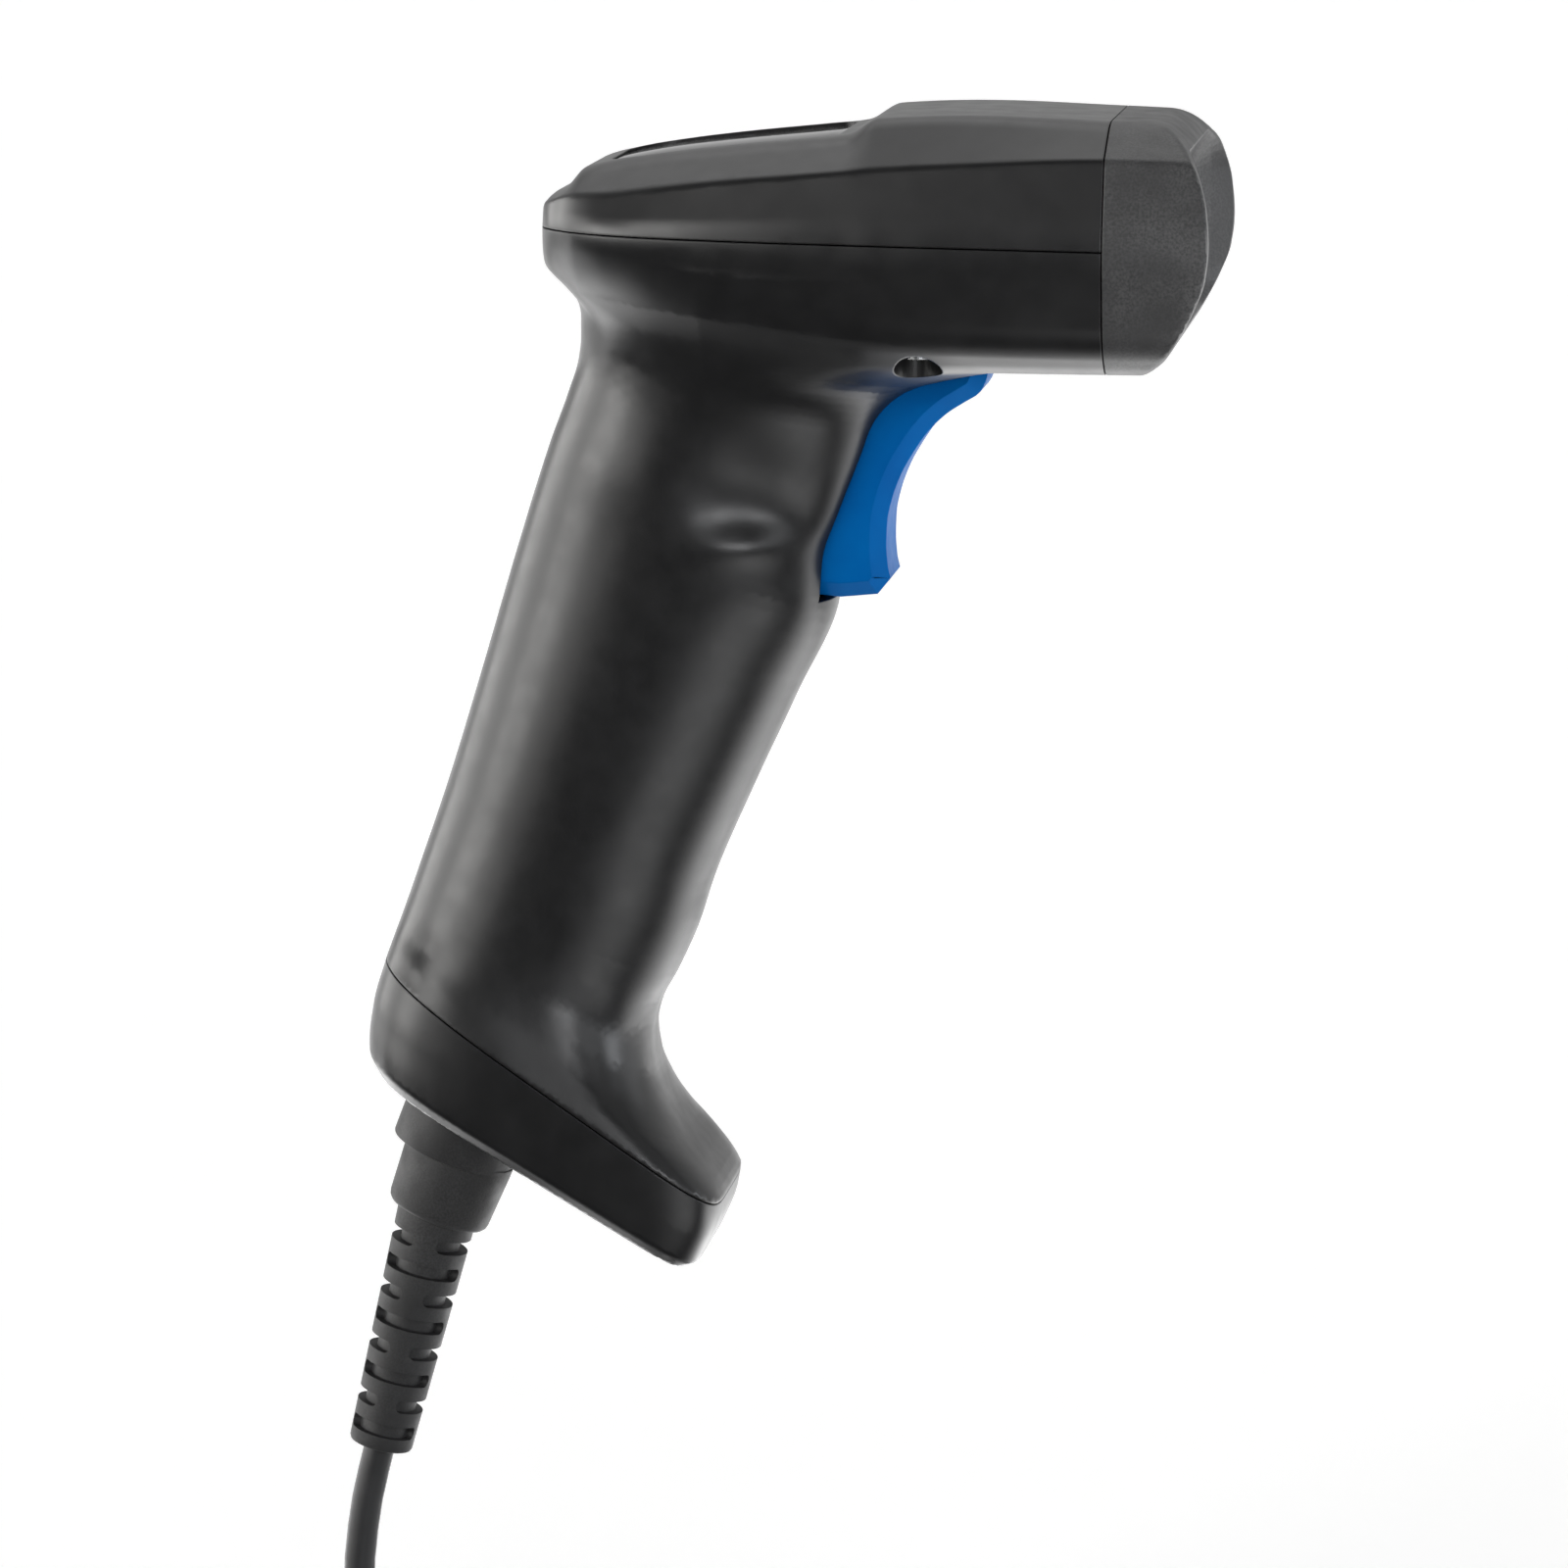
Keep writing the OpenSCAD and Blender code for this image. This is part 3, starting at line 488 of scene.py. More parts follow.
def build_cable():
    points = LEAD_ROUTE + coil_points() + TAIL_ROUTE
    curve = bpy.data.curves.new("cable", "CURVE")
    curve.dimensions = "3D"
    curve.bevel_depth = CABLE_R * MM
    curve.bevel_resolution = 5
    curve.use_fill_caps = True
    spline = curve.splines.new("POLY")
    spline.points.add(len(points) - 1)
    for p, at in zip(spline.points, points):
        p.co = (*(c * MM for c in at), 1)
    spline.use_smooth = True
    cable = bpy.data.objects.new("cable", curve)
    scene.collection.objects.link(cable)
    piece(cable, "scanner", FINISH["cable"], ["cable_lead", "cable_coil", "cable_tail"])

    # Flat strap around the coil, closed by a small buckle
    half_w = (COIL_R[1] - COIL_R[0]) / 2 + CABLE_R
    height = 2 * CABLE_R * COIL_LAYERS
    outline = []
    for cx, cz, a0 in ((1, 1, 0), (-1, 1, 90), (-1, 0, 180), (1, 0, 270)):
        for a in range(0, 91, 15):
            angle = math.radians(a0 + a)
            outline.append((cx * (half_w - 1.5) + 2.1 * math.cos(angle),
                            (1.7 if cz == 0 else height - 1.5) + 2.1 * math.sin(angle)
                            * (0.8 if cz == 0 else 1)))
    strap = []
    for i, (u, w) in enumerate(outline):
        a, b = outline[i - 1], outline[(i + 1) % len(outline)]
        d = Vector((b[0] - a[0], b[1] - a[1])).normalized()
        strap.append((u, w, u + d[1] * 0.9, w - d[0] * 0.9))
    rings = []
    for u, w, uo, wo in strap:
        rings.append([(u, -3.6, w), (uo, -3.6, wo), (uo, -2.9, wo), (uo, 2.9, wo),
                      (uo, 3.6, wo), (u, 3.6, w)])
    verts = [p for ring in rings for p in ring]
    n, m = 6, len(rings)
    faces = [(i * n + j, i * n + (j + 1) % n, (i + 1) % m * n + (j + 1) % n, (i + 1) % m * n + j)
             for i in range(m) for j in range(n)]
    band = outward(new_object("band", verts, faces))
    buckle = bevel_edges(prism("buckle", [(-4, height + 0.9), (4, height + 0.9), (4, height + 3),
                                          (-4, height + 3)], 4.4), 0.6)
    tie = join("cable_strap", [band, buckle])
    place(tie, shift(COIL_AT[0], COIL_AT[1], FLOOR_Z) @ turn(20, "Z")
          @ shift(sum(COIL_R) / 2, 0, 0))
    piece(shade(tie), "scanner", FINISH["dark_plastic"], ["cable_tie"])

    # Moulded plug grip with finger ridges down both edges
    rings = []
    for z, w, h in ((9.4, 5.2, 3.2), (9.9, 6.6, 3.7), (11.5, 7.6, 4.1), (13, 8, 4.2), (31, 8, 4.2),
                    (32.8, 7.7, 4.0), (33.5, 7.0, 3.5)):
        rings.append([(*p, z) for p in round_corners(w, h, 1.6, 15)])
    block = loft("block", rings)
    cuts = [prism("groove", [(s * 9, z - 0.55), (s * 9, z + 0.55), (s * 7.45, z + 0.3),
                             (s * 7.45, z - 0.3)], 9)
            for s in (-1, 1) for z in (16.5, 18.8, 21.1, 23.4, 25.7)]
    boolean(block, join("cuts", cuts))
    neck = [(0.01, 0)] + [(2.9 + 1.0 * z / 9, z) for z in (0, 3)]
    for i in range(4):
        z = 3 + i * 1.6
        r = 2.9 + z / 9
        neck += [(r - 0.45, z + 0.15), (r - 0.45, z + 0.7), (r + 0.1, z + 0.85),
                 (r + 0.12, z + 1.6)]
    neck += [(3.9, 9.8), (0.01, 9.8)]
    grip = join("plug_grip", [block, lathe("neck", neck, 32)])
    place(grip, shift(*PLUG_AT) @ turn(90, "X"))
    piece(shade(grip), "scanner", FINISH["rubber"], ["usb_grip"])


build_cable()

# ---- Shape of the mouldings ---------------------------------------------------------------

# Head stations: x, then the heights of the top, upper crease, seam, lower edge and underside,
# then the half widths at the same five places
HEAD = np.array([
    [-8, 80, 79.4, 76.4, 72.4, 71.5, 5, 7, 8.5, 7.5, 5],
    [-7, 80.8, 80.2, 76.6, 71.6, 70.4, 9, 12.5, 14.5, 13, 9],
    [-4, 82.6, 81.4, 76.8, 71.2, 68, 11, 17, 19.5, 17.5, 12],
    [-1.5, 85, 82, 76.8, 71.2, 66.5, 12.5, 19.3, 22, 20, 14],
    [3, 86.2, 82.4, 76.8, 71, 65, 14, 21.8, 24.8, 22.8, 15],
    [10, 87.4, 83.4, 76.7, 70, 63, 15, 23.8, 27.3, 25.2, 16.5],
    [20, 88.6, 84.6, 76.5, 67.8, 61, 16, 25.3, 29, 26.8, 18],
    [30, 89.6, 85.5, 76.4, 65.6, 59.6, 16.5, 26.2, 30, 27.8, 20],
    [35.5, 90.2, 86, 76.3, 64.6, 59, 16.7, 26.6, 30.3, 28.2, 21],
    [40, 92.5, 86.4, 76.2, 63.5, 58.6, 17, 26.8, 30.6, 28.4, 21.5],
    [53, 93, 87.2, 76, 62.6, 58, 17, 27.2, 31, 28.8, 22],
    [72, 92.4, 88, 75.8, 62.3, 58, 17, 27.3, 31.2, 29, 22.5],
    [88, 91.8, 87.6, 75.6, 62, 58, 16.5, 26.8, 30.6, 28.6, 22.5]])
HEAD_ROUNDING = (1.3, 0.5, 2.2, 2.4, 1.6)
# Nose of the bezel: x over height
NOSE = np.array([
    [57.6, 76.8], [60.6, 80.3], [64.4, 82.7], [67.8, 84.4], [71.6, 85.8], [76.3, 86.3],
    [80.8, 86], [85.9, 84.7], [89.6, 82.4], [91.6, 80], [92.6, 77.6], [93.5, 71]])
REAR_LINE = np.array([
    [-29.5, -32], [-16.5, -27.5], [-1.5, -22.4], [14.5, -17.5], [31, -12.6], [46, -7.8],
    [52.5, -5.4], [58, -3.7], [61, -3.4], [72, -3.4]])
FRONT_LINE = np.array([
    [-62, 18], [-59.5, 16.8], [-56.5, 14.7], [-52.5, 11.4], [-47.5, 8.5], [-43, 6.9],
    [-38.5, 6.5], [-35, 7.2], [-30, 9.8], [-23, 12.9], [-17, 14.8], [-3, 20.8], [10, 26.8],
    [24, 32.8], [30, 33.2], [36.5, 35.4], [45, 38.6], [48.5, 39.8], [52, 41.8], [54.5, 44.2],
    [56.5, 49.5], [58, 54], [62, 58]])
# Grip stations: height at the rear, height at the front, half width, squareness
GRIP = np.array([
    [68, 61, 22, 2.4], [64, 57.5, 20.5, 2.4], [59, 51, 19, 2.4], [53, 41.5, 18.4, 2.4],
    [47, 33, 18.2, 2.4], [40, 24, 17.9, 2.4], [26, 10, 17.5, 2.3], [12, -4, 17.2, 2.3],
    [-2, -18, 17, 2.3], [-12, -30, 16.9, 2.4], [-18, -38, 17.1, 2.5], [-22, -46, 17.7, 2.7],
    [-25, -53, 18.5, 3], [-27.6, -60.9, 19.3, 3.2]])
# Base cap stations: rear x and z, front x and z, half width, squareness
CAP = np.array([
    [-33.2, -34, 16.8, -64.2, 19.2, 3.3], [-33.8, -39, 15.4, -67.6, 19.1, 3.5],
    [-33.5, -43, 13.7, -70.9, 18.9, 3.8], [-32.9, -45.2, 12.6, -72.4, 18.7, 4]])
FOOT_CHAMFER = 3.2
# How much squarer the front half of each section is, over the height of its front point
FRONT_SQUARE = np.array([[-66, 4.5], [-58, 2.4], [-50, 1], [-40, 0.3], [-30, 0]])
SEAM_Z, SEAM_SLOPE = 76.8, 0.015
BEZEL_X = 72.0
CAP_SEAM = ((0, 0, -49.4), (0.69, 0, 1))
GAP = 0.2
WALL = 2.0
GRIP_LEAN = 20.8
# Box around the closed body, and the mesh size of its inner surface
BODY_LOW, BODY_HIGH = (-35.5, -32.2, -73.5), (88, 32.6, 95)
HOLLOW_STEP = 1.3
SCREW_AT = (46.3, 22.5)
BOSS_R = 4.6
RECESS_R, RECESS_TOP = 3.35, 62.2
# Screw of the base cap: x and z of its place on the slanted underside
CAP_SCREW_AT, FOOT_TILT = (3, -65.5), 31
CAP_BOSS_R = 3.4
CAP_BOSS_TOP = -47
CAP_RECESS_R = 2.9
# The collar passes through the cap along the grip's lean, a little off its axis
COLLAR_OFFSET = -1.1
COLLAR_HOLE_R = 9.3


def smooth_curve(xs, ys):
    """Monotone cubic through the points, held level beyond its ends."""
    xs, ys = np.asarray(xs, float), np.asarray(ys, float)
    h, d = np.diff(xs), np.diff(ys) / np.diff(xs)
    m = np.zeros(len(xs))
    same = d[:-1] * d[1:] > 0
    w1, w2 = 2 * h[1:] + h[:-1], h[1:] + 2 * h[:-1]
    safe = np.where(same, d[:-1], 1), np.where(same, d[1:], 1)
    m[1:-1] = np.where(same, (w1 + w2) / (w1 / safe[0] + w2 / safe[1]), 0)
    m[0], m[-1] = d[0], d[-1]

    def at(x):
        x = np.clip(x, xs[0], xs[-1])
        i = np.clip(np.searchsorted(xs, x) - 1, 0, len(xs) - 2)
        t = (x - xs[i]) / h[i]
        return ((1 + 2 * t) * (1 - t) ** 2 * ys[i] + t * (1 - t) ** 2 * h[i] * m[i]
                + t * t * (3 - 2 * t) * ys[i + 1] + t * t * (t - 1) * h[i] * m[i + 1])

    return at


def smooth_max(a, b, k):
    """The larger of two fields, rounded over the width k where they meet."""
    h = np.maximum(k - np.abs(a - b), 0) / k
    return np.maximum(a, b) + h * h * k / 4


def smooth_min(a, b, k):
    return -smooth_max(-a, -b, k)


head_curves = [smooth_curve(HEAD[:, 0], HEAD[:, i]) for i in range(1, 11)]
nose_curve = smooth_curve(NOSE[:, 0], NOSE[:, 1])


def head_field(x, y, z):
    """Negative inside the head: six rounded faces a side, cut off by the tail and the nose."""
    v = [curve(x) for curve in head_curves]
    corner = [(0 * v[0], v[0])] + [(v[5 + i], v[i]) for i in range(5)] + [(0 * v[0], v[4])]
    a = np.abs(y)
    field = None
    for i in range(6):
        (ya, za), (yb, zb) = corner[i], corner[i + 1]
        dy, dz = yb - ya, zb - za
        side = ((z - za) * dy - (a - ya) * dz) / np.hypot(dy, dz)
        field = side if field is None else smooth_max(field, side, HEAD_ROUNDING[i - 1])
    field = smooth_max(field, -8 - x, 1.5)
    slope = (nose_curve(z + 0.1) - nose_curve(z - 0.1)) / 0.2
    return smooth_max(field, (x - nose_curve(z)) / np.sqrt(1 + slope * slope), 0.5)


def grip_sections():
    """Thin sections down the grip and cap: rear point, front point, half width, squareness."""
    t = np.arange(len(GRIP))
    fine = np.linspace(0, len(GRIP) - 1, 90)
    zr, zf, w, n = (smooth_curve(t, GRIP[:, i])(fine) for i in range(4))
    rear, front = smooth_curve(*REAR_LINE.T), smooth_curve(*FRONT_LINE.T)
    upper = np.stack([rear(zr), zr, front(zf), zf, w, n], 1)
    joined = np.vstack([upper[-1], CAP])
    t = np.arange(len(joined))
    fine = np.linspace(0, len(joined) - 1, 30)[1:]
    return np.vstack([upper, np.stack([smooth_curve(t, joined[:, i])(fine) for i in range(6)], 1)])


SECTIONS = grip_sections()


def grip_field(x, y, z):
    """Negative inside the grip and the base cap: superellipses between slanted sections."""
    xr, zr, xf, zf, w, n = SECTIONS.T
    length = np.hypot(xf - xr, zf - zr)
    dx, dz = (xf - xr) / length, (zf - zr) / length
    above = (x[..., None] - xr) * -dz + (z[..., None] - zr) * dx
    below = np.clip((above < 0).sum(-1) - 1, 0, len(xr) - 2)
    a0 = np.take_along_axis(above, below[..., None], -1)[..., 0]
    a1 = np.take_along_axis(above, below[..., None] + 1, -1)[..., 0]
    pos = below + np.clip(-a0 / (a1 - a0), 0, 1)
    order = np.arange(len(xr))
    mx, mz, arm, ddx, ddz, w, n = (np.interp(pos, order, c) for c in (
        (xr + xf) / 2, (zr + zf) / 2, length / 2, dx, dz, w, n))
    u = ((x - mx) * ddx + (z - mz) * ddz) / arm
    n = n + np.interp(np.interp(pos, order, zf), *FRONT_SQUARE.T) * (u > 0)
    u = np.abs(u) + 1e-6
    v = np.abs(y) / w + 1e-6
    f = (u ** n + v ** n) ** (1 / n)
    slope = np.hypot((u / f) ** (n - 1) / arm, (v / f) ** (n - 1) / w)
    field = (f - 1) / slope
    field = np.maximum(field, above[..., 0])
    under = -above[..., -1]
    field = smooth_max(field, under, 0.4)
    return smooth_max(field, (field + under + FOOT_CHAMFER) * 0.7071, 0.3)


def dimple(x, z, at, size, lean):
    """Soft round bump of height 1, with its long axis leaning back by lean degrees."""
    c, s = math.cos(math.radians(lean)), math.sin(math.radians(lean))
    u = ((x - at[0]) * c - (z - at[1]) * s) / size[0]
    w = ((x - at[0]) * s + (z - at[1]) * c) / size[1]
    return np.exp(-(u * u + w * w))


def body_field(x, y, z):
    """Negative inside the closed scanner body."""
    blend = 4 + 6 * np.clip((x + 2) / 18, 0, 1)
    field = smooth_min(head_field(x, y, z), grip_field(x, y, z), blend)
    side = np.clip((np.abs(y) - 8) / 6, 0, 1)
    side = side * side * (3 - 2 * side)
    scoop = 1.9 * dimple(x, z, (22.5, 40.5), (8.5, 8.5), 20)
    ridge = 0.8 * dimple(x, z, (22, 33), (8, 3), 0)
    return field + side * (scoop - ridge)


def field_slope(field, p, e=0.05):
    """Gradient of a field at the points p, by differences over e either side."""
    steps = e * np.eye(3)
    return np.stack([(field(*(p + step).T) - field(*(p - step).T)) / (2 * e) for step in steps], 1)


def extract(field, low, high, step):
    """Quad mesh of the field's zero surface, with every point moved onto it."""
    axes = [np.arange(a, b + step, step) for a, b in zip(low, high)]
    n = [len(a) for a in axes]
    x, y, z = axes[0][:, None, None], axes[1][None, :, None], axes[2][None, None, :]
    value = np.concatenate([field(x[i:i + 8] + 0 * z, y, z + 0 * x[i:i + 8])
                            for i in range(0, n[0], 8)], 0)
    inside = value < 0
    total = np.zeros([k - 1 for k in n] + [3])
    count = np.zeros([k - 1 for k in n])
    crossings = []
    for axis in range(3):
        lo = [slice(None)] * 3
        hi = [slice(None)] * 3
        lo[axis], hi[axis] = slice(0, -1), slice(1, None)
        a, b = value[tuple(lo)], value[tuple(hi)]
        cross = inside[tuple(lo)] != inside[tuple(hi)]
        i, j, k = np.nonzero(cross)
        t = a[i, j, k] / (a[i, j, k] - b[i, j, k])
        point = np.stack([axes[0][i], axes[1][j], axes[2][k]], 1)
        point[:, axis] += t * step
        crossings.append((axis, i, j, k, inside[tuple(lo)][i, j, k]))
        for du in (0, 1):
            for dv in (0, 1):
                cell = [i.copy(), j.copy(), k.copy()]
                cell[(axis + 1) % 3] -= du
                cell[(axis + 2) % 3] -= dv
                np.add.at(total, tuple(cell), point)
                np.add.at(count, tuple(cell), 1)
    index = -np.ones(count.shape, int)
    cells = np.nonzero(count)
    index[cells] = np.arange(len(cells[0]))
    points = total[cells] / count[cells][:, None]
    faces = []
    for axis, i, j, k, low_inside in crossings:
        quad = []
        for du, dv in ((0, 0), (1, 0), (1, 1), (0, 1)):
            cell = [i.copy(), j.copy(), k.copy()]
            cell[(axis + 1) % 3] -= du
            cell[(axis + 2) % 3] -= dv
            quad.append(index[tuple(cell)])
        quad = np.stack(quad, 1)
        quad[~low_inside] = quad[~low_inside][:, ::-1]
        faces.append(quad)
    faces = np.vstack(faces)

    def project(p, rounds):
        for _ in range(rounds):
            here = field(p[:, 0], p[:, 1], p[:, 2])
            slope = field_slope(field, p)
            size = np.maximum((slope ** 2).sum(1), 0.05)
            p = p - slope * np.clip(here / size, -step, step)[:, None]
        return p

    points = project(points, 2)
    for _ in range(2):
        total = np.zeros_like(points)
        count = np.zeros(len(points))
        for q in range(4):
            a, b = faces[:, q], faces[:, (q + 1) % 4]
            np.add.at(total, a, points[b])
            np.add.at(count, a, 1)
        points = project(0.5 * points + 0.5 * total / count[:, None], 2)
    return points, faces


def hollow_field(x, y, z):
    """Negative in the space inside the mouldings: a wall's thickness in, around the bosses."""
    wall = WALL + 1.7 * np.clip((z - 80) / 4, 0, 1)
    field = body_field(x, y, z) + wall
    boss = np.hypot(x - SCREW_AT[0], np.abs(y) - SCREW_AT[1]) - BOSS_R
    tilt = math.radians(FOOT_TILT)
    across = (x - CAP_SCREW_AT[0]) * math.cos(tilt) - (z - CAP_SCREW_AT[1]) * math.sin(tilt)
    cap_boss = np.maximum(np.hypot(across, y) - CAP_BOSS_R, z - CAP_BOSS_TOP)
    return np.maximum(np.maximum(field, -boss), -cap_boss)


def make_surface(name, field, step):
    points, faces = extract(field, BODY_LOW, BODY_HIGH, step)
    mesh = bpy.data.meshes.new(name)
    mesh.from_pydata((points * MM).tolist(), [], faces.tolist())
    obj = bpy.data.objects.new(name, mesh)
    scene.collection.objects.link(obj)
    return obj


def take(source, name, cuts, hollow=None):
    """Part of the body behind each cut (point, outward normal), less the hollow body."""
    obj = source.copy()
    obj.data = source.data.copy()
    obj.name = name
    scene.collection.objects.link(obj)

    def work(bm):
        for at, normal in cuts:
            normal = Vector(normal).normalized()
            at = Vector(at) * MM
            bmesh.ops.bisect_plane(bm, geom=bm.verts[:] + bm.edges[:] + bm.faces[:], dist=1e-7,
                                   plane_co=at - normal * GAP / 2 * MM, plane_no=normal,
                                   clear_outer=True)
            loose = [v for v in bm.verts if not v.link_faces]
            bmesh.ops.delete(bm, geom=loose, context="VERTS")
            rim = [e for e in bm.edges if len(e.link_faces) == 1]
            bmesh.ops.holes_fill(bm, edges=rim, sides=0)

    outward(edit(obj, work))
    if hollow is not None:
        tool = hollow.copy()
        tool.data = hollow.data.copy()
        scene.collection.objects.link(tool)
        boolean(obj, tool)
    return obj


# A point this near the body's surface, in millimetres, lies on it, if its face looks the same way
SURFACE_BAND, SAME_WAY = 0.06, 0.75


def smooth_moulding(obj):
    """Normals from the body's own field on its outer surface, and flat ones on every cut face."""
    mesh = obj.data
    co = np.empty(len(mesh.vertices) * 3)
    mesh.vertices.foreach_get("co", co)
    co = co.reshape(-1, 3) / MM
    vertex = np.empty(len(mesh.loops), np.int32)
    mesh.loops.foreach_get("vertex_index", vertex)
    face_normal = np.empty(len(mesh.polygons) * 3)
    mesh.polygons.foreach_get("normal", face_normal)
    sides = np.empty(len(mesh.polygons), np.int32)
    mesh.polygons.foreach_get("loop_total", sides)
    face_normal = np.repeat(face_normal.reshape(-1, 3), sides, 0)
    slope = field_slope(body_field, co)
    slope /= np.maximum(np.linalg.norm(slope, axis=1, keepdims=True), 1e-6)
    outside = np.abs(body_field(*co.T)) < SURFACE_BAND
    use = outside[vertex] & ((slope[vertex] * face_normal).sum(1) > SAME_WAY)
    normals = np.where(use[:, None], slope[vertex], face_normal)
    mesh.polygons.foreach_set("use_smooth", np.ones(len(mesh.polygons), bool))
    mesh.normals_split_custom_set(normals.tolist())
    return obj


def rounded_slab(name, z, *ends):
    """Body along X through rounded rectangles, each (x, width, height, corner radius)."""
    return loft(name, [[(x, y, z + up) for y, up in round_corners(w / 2, h / 2, r, 10)]
                       for x, w, h, r in ends])


DECK_X, DECK_HALF_W = (2, 34), 13
DECK_REAR_ROUND = (8, 6)  # along the deck and across it
DECK_FRONT_ROUND = 2


def deck_block(name, top, bottom, grow):
    """Block under the deck's outline, from one depth below the deck's surface to another."""
    rear_start = DECK_X[0] + DECK_REAR_ROUND[0]
    front_start = DECK_X[1] - DECK_FRONT_ROUND

    def half_w(x):
        if x < rear_start:
            t, r = (rear_start - x) / DECK_REAR_ROUND[0], DECK_REAR_ROUND[1]
        else:
            t, r = max(0, (x - front_start) / DECK_FRONT_ROUND), DECK_FRONT_ROUND
        return DECK_HALF_W - r + r * math.sqrt(max(0, 1 - t * t))

    quarter = math.pi / 2
    spans = np.concatenate([
        DECK_X[0] + DECK_REAR_ROUND[0] * (1 - np.cos(np.linspace(0, quarter, 14))),
        np.linspace(rear_start + 1, front_start - 0.5, 20),
        front_start + DECK_FRONT_ROUND * np.sin(np.linspace(0, quarter, 8))])
    mid = sum(DECK_X) / 2
    rings = []
    for x in spans:
        w = half_w(x) + grow
        xx = mid + (x - mid) * (1 + grow / (mid - DECK_X[0]))
        z = float(head_curves[0](np.array(xx)))
        rings.append([(xx, -w, z - bottom), (xx, w, z - bottom),
                      (xx, w, z - top), (xx, -w, z - top)])
    return loft(name, rings)


def build_mouldings():
    body = make_surface("body", body_field, 0.7)
    inside = make_surface("inside", hollow_field, HOLLOW_STEP)
    up = (SEAM_SLOPE, 0, 1)
    down = tuple(-c for c in up)
    seam = (0, 0, SEAM_Z)
    cap_at, cap_up = CAP_SEAM
    cap_down = tuple(-c for c in cap_up)

    lower = take(body, "housing_shell", [(seam, up), ((BEZEL_X, 0, 0), (1, 0, 0)),
                                         (cap_at, cap_down)], inside)
    boolean(lower, prism("slot", [(27, 24.3), (50, 24.3), (58, 50), (58, 57), (55.4, 57),
                                  (55.4, 61.5), (42, 61.5), (31, 50)], 8.9))
    for s in (-1, 1):
        recess = lathe("recess", [(0.01, 50), (RECESS_R, 50), (RECESS_R, RECESS_TOP),
                                  (0.01, RECESS_TOP)], 40)
        boolean(lower, place(recess, shift(SCREW_AT[0], s * SCREW_AT[1], 0)))
    piece(smooth_moulding(lower), "scanner", FINISH["housing"], ["lower_housing"])

    cover = take(body, "cover_shell", [(seam, down), ((BEZEL_X, 0, 0), (1, 0, 0))], inside)
    boolean(cover, deck_block("pocket", -4, 1.5, 0.2))
    piece(smooth_moulding(cover), "scanner", FINISH["housing"], ["top_cover"])
    panel = deck_block("deck_panel", 0.25, 1.4, 0)
    bevel_edges(panel, 0.2, 2, 50)
    piece(shade(panel), "scanner", FINISH["deck"], ["deck_inlay"])

    # The nose is solid around a stepped cavity, the window's pocket and the flared opening
    nose = take(body, "bezel_shell", [((BEZEL_X, 0, 0), (-1, 0, 0))])
    boolean(nose, rounded_slab("cavity", 75, (70, 56, 29, 7), (77.3, 53, 27.5, 6)))
    boolean(nose, rounded_slab("pocket", 76, (70, 45.4, 20.4, 4), (80.2, 45.4, 20.4, 4)))
    boolean(nose, rounded_slab("flare", 76, (78, 42, 17, 3), (80.2, 42, 17, 3),
                               (81.3, 44.6, 21, 4.2), (83.2, 48.4, 26, 6), (86.5, 54.4, 32, 9),
                               (90, 60, 37, 12)))
    piece(smooth_moulding(nose), "scanner", FINISH["bezel"], ["front_bezel"])

    cap = take(body, "cap_shell", [(cap_at, cap_up)], inside)
    collar_hole = lathe("hole", [(0.01, -80), (COLLAR_HOLE_R, -80), (COLLAR_HOLE_R, -40),
                                 (0.01, -40)], 64)
    boolean(cap, place(collar_hole, turn(GRIP_LEAN, "Y") @ shift(COLLAR_OFFSET, 0, 0)))
    screw_hole = lathe("hole", [(0.01, -10), (CAP_RECESS_R, -10), (CAP_RECESS_R, 4),
                                (0.01, 4)], 40)
    boolean(cap, place(screw_hole, shift(CAP_SCREW_AT[0], 0, CAP_SCREW_AT[1])
                       @ turn(FOOT_TILT, "Y")))
    piece(smooth_moulding(cap), "scanner", FINISH["housing"], ["base_cap"])
    for helper in (body, inside):
        bpy.data.objects.remove(helper)


build_mouldings()

# ---- Trigger ------------------------------------------------------------------------------

TRIGGER_FRONT = [
    (54.6, 60.5), (54.3, 56.3), (53.2, 53.8), (51.2, 52.5), (48.6, 50.8), (45.9, 48.1),
    (43.9, 45.2), (42.3, 42.3), (41, 38.8), (40.3, 35.4), (40.2, 32.2), (40.4, 29.3),
    (40.8, 27.5)]
TRIGGER_TOE = [(39, 25.3), (33.8, 24.8)]
TRIGGER_REAR = [(29.8, 25.2), (29.8, 34.5), (32.4, 37.5), (32.4, 47.5), (36, 53), (42, 57),
                (45.5, 60.5)]
TRIGGER_HALF_W = 8.5
TRIGGER_FACET = 2.2
PIVOT = (49.5, 64)
HUB_R, HUB_HALF_W, PIN_HOLE_R = 3.2, 4, 1.3


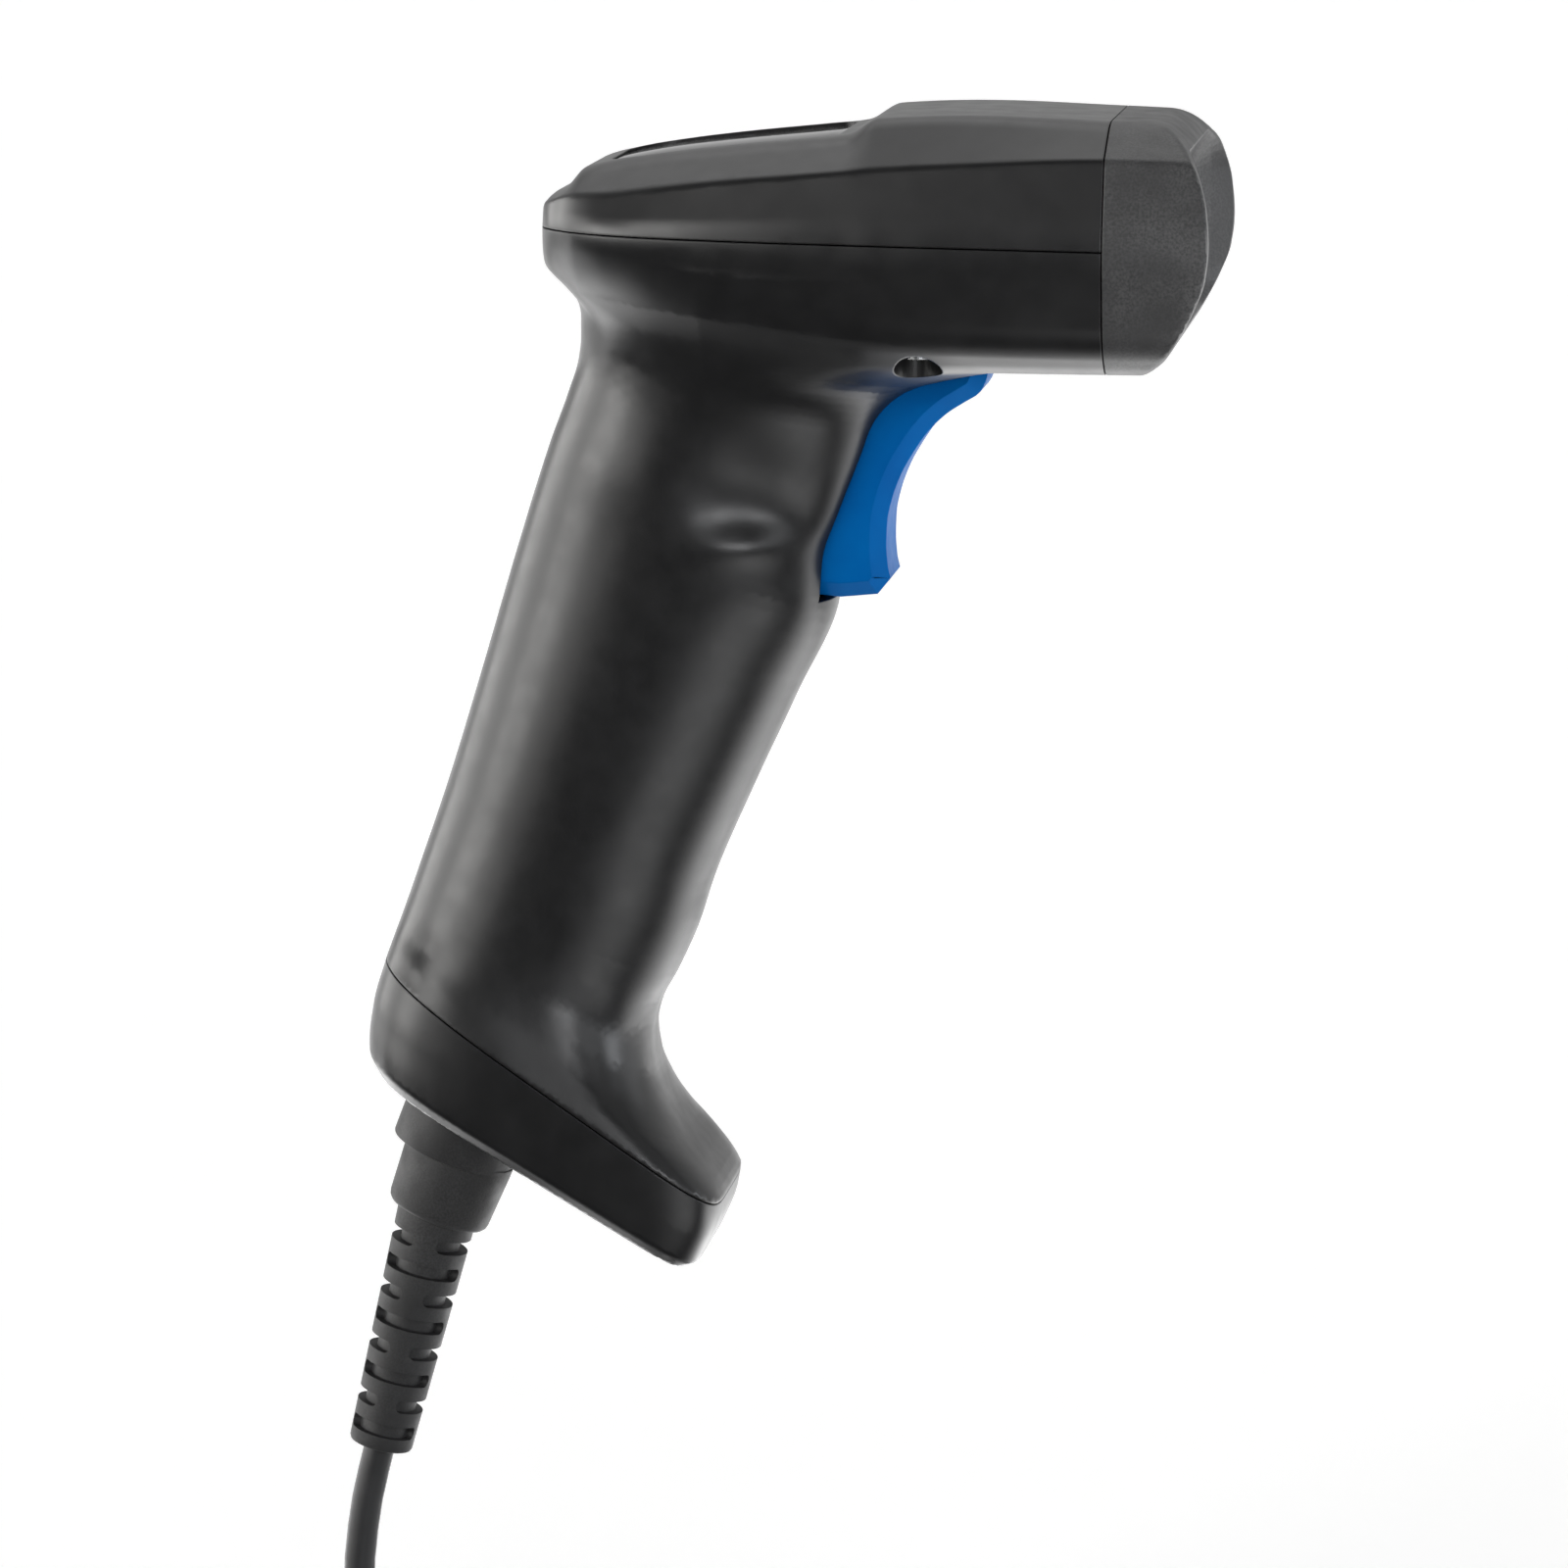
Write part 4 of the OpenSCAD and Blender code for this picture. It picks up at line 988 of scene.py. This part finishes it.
def build_trigger():
    run = np.array(TRIGGER_FRONT)
    along = np.concatenate([[0], np.cumsum(np.hypot(*np.diff(run, axis=0).T))])
    fine = np.linspace(0, along[-1], 46)
    front = np.stack([smooth_curve(along, run[:, i])(fine) for i in (0, 1)], 1)
    full = np.vstack([front, TRIGGER_TOE, TRIGGER_REAR])
    narrow = full.copy()
    for i in range(len(front) + 3):
        a, b = full[max(i - 1, 0)], full[i + 1]
        before, after = full[i] - a if i else b - full[i], b - full[i]
        n = [np.array([d[1], -d[0]]) / np.hypot(*d) for d in (before, after)]
        if i == len(front) + 2:
            n[1] = n[0]
        narrow[i] = full[i] + (n[0] + n[1]) * TRIGGER_FACET / (1 + n[0] @ n[1])
    rings = []
    for y, outline in ((-TRIGGER_HALF_W, narrow), (-TRIGGER_HALF_W + TRIGGER_FACET, full),
                       (TRIGGER_HALF_W - TRIGGER_FACET, full), (TRIGGER_HALF_W, narrow)):
        rings.append([(p[0], y, p[1]) for p in outline])
    blade = loft("trigger_blade", rings)
    boolean(blade, prism("hub", [(46.3, 60), (54, 60), (52.6, 64.6), (46.6, 65)], HUB_HALF_W),
            "UNION")

    def round_bar(name, r, half_w):
        return prism(name, [(PIVOT[0] + r * math.cos(a), PIVOT[1] + r * math.sin(a))
                            for a in np.linspace(0, 2 * math.pi, 48, endpoint=False)], half_w)

    boolean(blade, round_bar("barrel", HUB_R, HUB_HALF_W), "UNION")
    boolean(blade, round_bar("hole", PIN_HOLE_R, 9))
    piece(shade(blade, 20), "trigger", FINISH["trigger"], ["trigger"])


build_trigger()

# ---- Collar and strain relief -------------------------------------------------------------

RELIEF_TOP, RELIEF_BEND = -71.2, 6.8
RELIEF_LEVELS, RELIEF_PITCH, RELIEF_SLOT = 8, 4.1, 1.9
RELIEF_R = (5.75, 4.6)
RELIEF_LEN = 2.6 + RELIEF_LEVELS * RELIEF_PITCH


def slot_cutter(r_in, r_out, top, heading):
    """Block that bends around the relief for just under half a turn, with round ends."""
    half = RELIEF_SLOT / 2
    reach = math.pi / 2 - 0.3
    rings = []
    for t in np.sin(np.linspace(-math.pi / 2, math.pi / 2, 31)):
        a = t * reach
        left = (reach - abs(a)) * RELIEF_R[0]
        h = half * math.sqrt(max(0.0004, 1 - max(0, 1 - left / half) ** 2))
        c, s = math.cos(a + heading), math.sin(a + heading)
        rings.append([(r * c, r * s, top - half + k * h)
                      for r, k in ((r_in, -1), (r_out, -1), (r_out, 1), (r_in, 1))])
    return loft("cutter", rings)


def build_relief():
    lip = 0.35
    flange = lathe("flange", [(0.01, -54), (8.9, -54), (8.9, -61.8 + lip), (8.8, -61.8 + lip / 3),
                              (8.9 - lip, -61.8), (0.01, -61.8)], 64)
    place(flange, shift(COLLAR_OFFSET, 0, 0))
    collar = lathe("collar", [(0.01, -61), (8, -61), (7.95, -62.6), (7.5, -70.0), (7.35, -70.6),
                              (7.0, -71.0), (6.4, -71.2), (0.01, -71.2)], 64)
    base = join("cable_boot_collar", [flange, collar])
    place(base, turn(GRIP_LEAN, "Y"))
    piece(shade(base), "scanner", FINISH["rubber"], ["cable_collar"])

    def radius(depth):
        return RELIEF_R[0] + (RELIEF_R[1] - RELIEF_R[0]) * depth / RELIEF_LEN

    profile = [(0.01, 0.7), (radius(0), 0.7)]
    for d in np.linspace(0.4, RELIEF_LEN - 0.5, 60):
        profile.append((radius(d), -d))
    profile += [(radius(RELIEF_LEN) - 0.15, -RELIEF_LEN + 0.15),
                (radius(RELIEF_LEN) - 0.5, -RELIEF_LEN), (0.01, -RELIEF_LEN)]
    boot = lathe("cable_boot", profile, 64)
    cutters = []
    for i in range(RELIEF_LEVELS):
        depth = 2.6 + i * RELIEF_PITCH
        for side in (0, math.pi):
            cutters.append(slot_cutter(radius(depth) * 0.76, radius(0) + 2, -depth,
                                       side + (i % 2) * math.pi / 2))
    boolean(boot, join("cutters", cutters))
    place(boot, turn(GRIP_LEAN, "Y") @ shift(0, 0, RELIEF_TOP) @ turn(-RELIEF_BEND, "Y"))
    piece(shade(boot), "scanner", FINISH["rubber"], ["strain_relief"])


build_relief()

# ---- Finishes of the frame's own nodes ----------------------------------------------------

NODE_FINISH = {
    "window": ["scan_window"],
    "rubber": ["window_gasket"],
    "board": ["main_board", "imager_board", "illumination_board", "handle_board", "switch_board"],
    "chip": ["main_processor", "board_chips", "image_sensor", "lens_barrel", "beeper",
             "trigger_switch"],
    "connector": ["board_connectors"],
    "dark_plastic": ["modular_jack", "trigger_bracket", "handle_harness"],
    "steel": ["housing_screws", "cap_screw", "board_screws", "trigger_pin", "trigger_spring",
              "usb_shell", "engine_bracket"],
    "alloy": ["engine_chassis"],
    "gold": ["jack_contacts", "plug_contacts", "usb_contacts", "aimer_module"],
    "clear": ["status_light_guide", "modular_plug", "plug_latch"],
    "lens": ["lens_glass"],
    "flex": ["ribbon_cable"],
    "led": ["status_leds", "illumination_leds"],
    "switch_red": ["switch_plunger"],
    "white": ["usb_tongue"],
}
for finish, names in NODE_FINISH.items():
    for name in names:
        obj = nodes[name]
        obj.data.materials.clear()
        obj.data.materials.append(FINISH[finish])
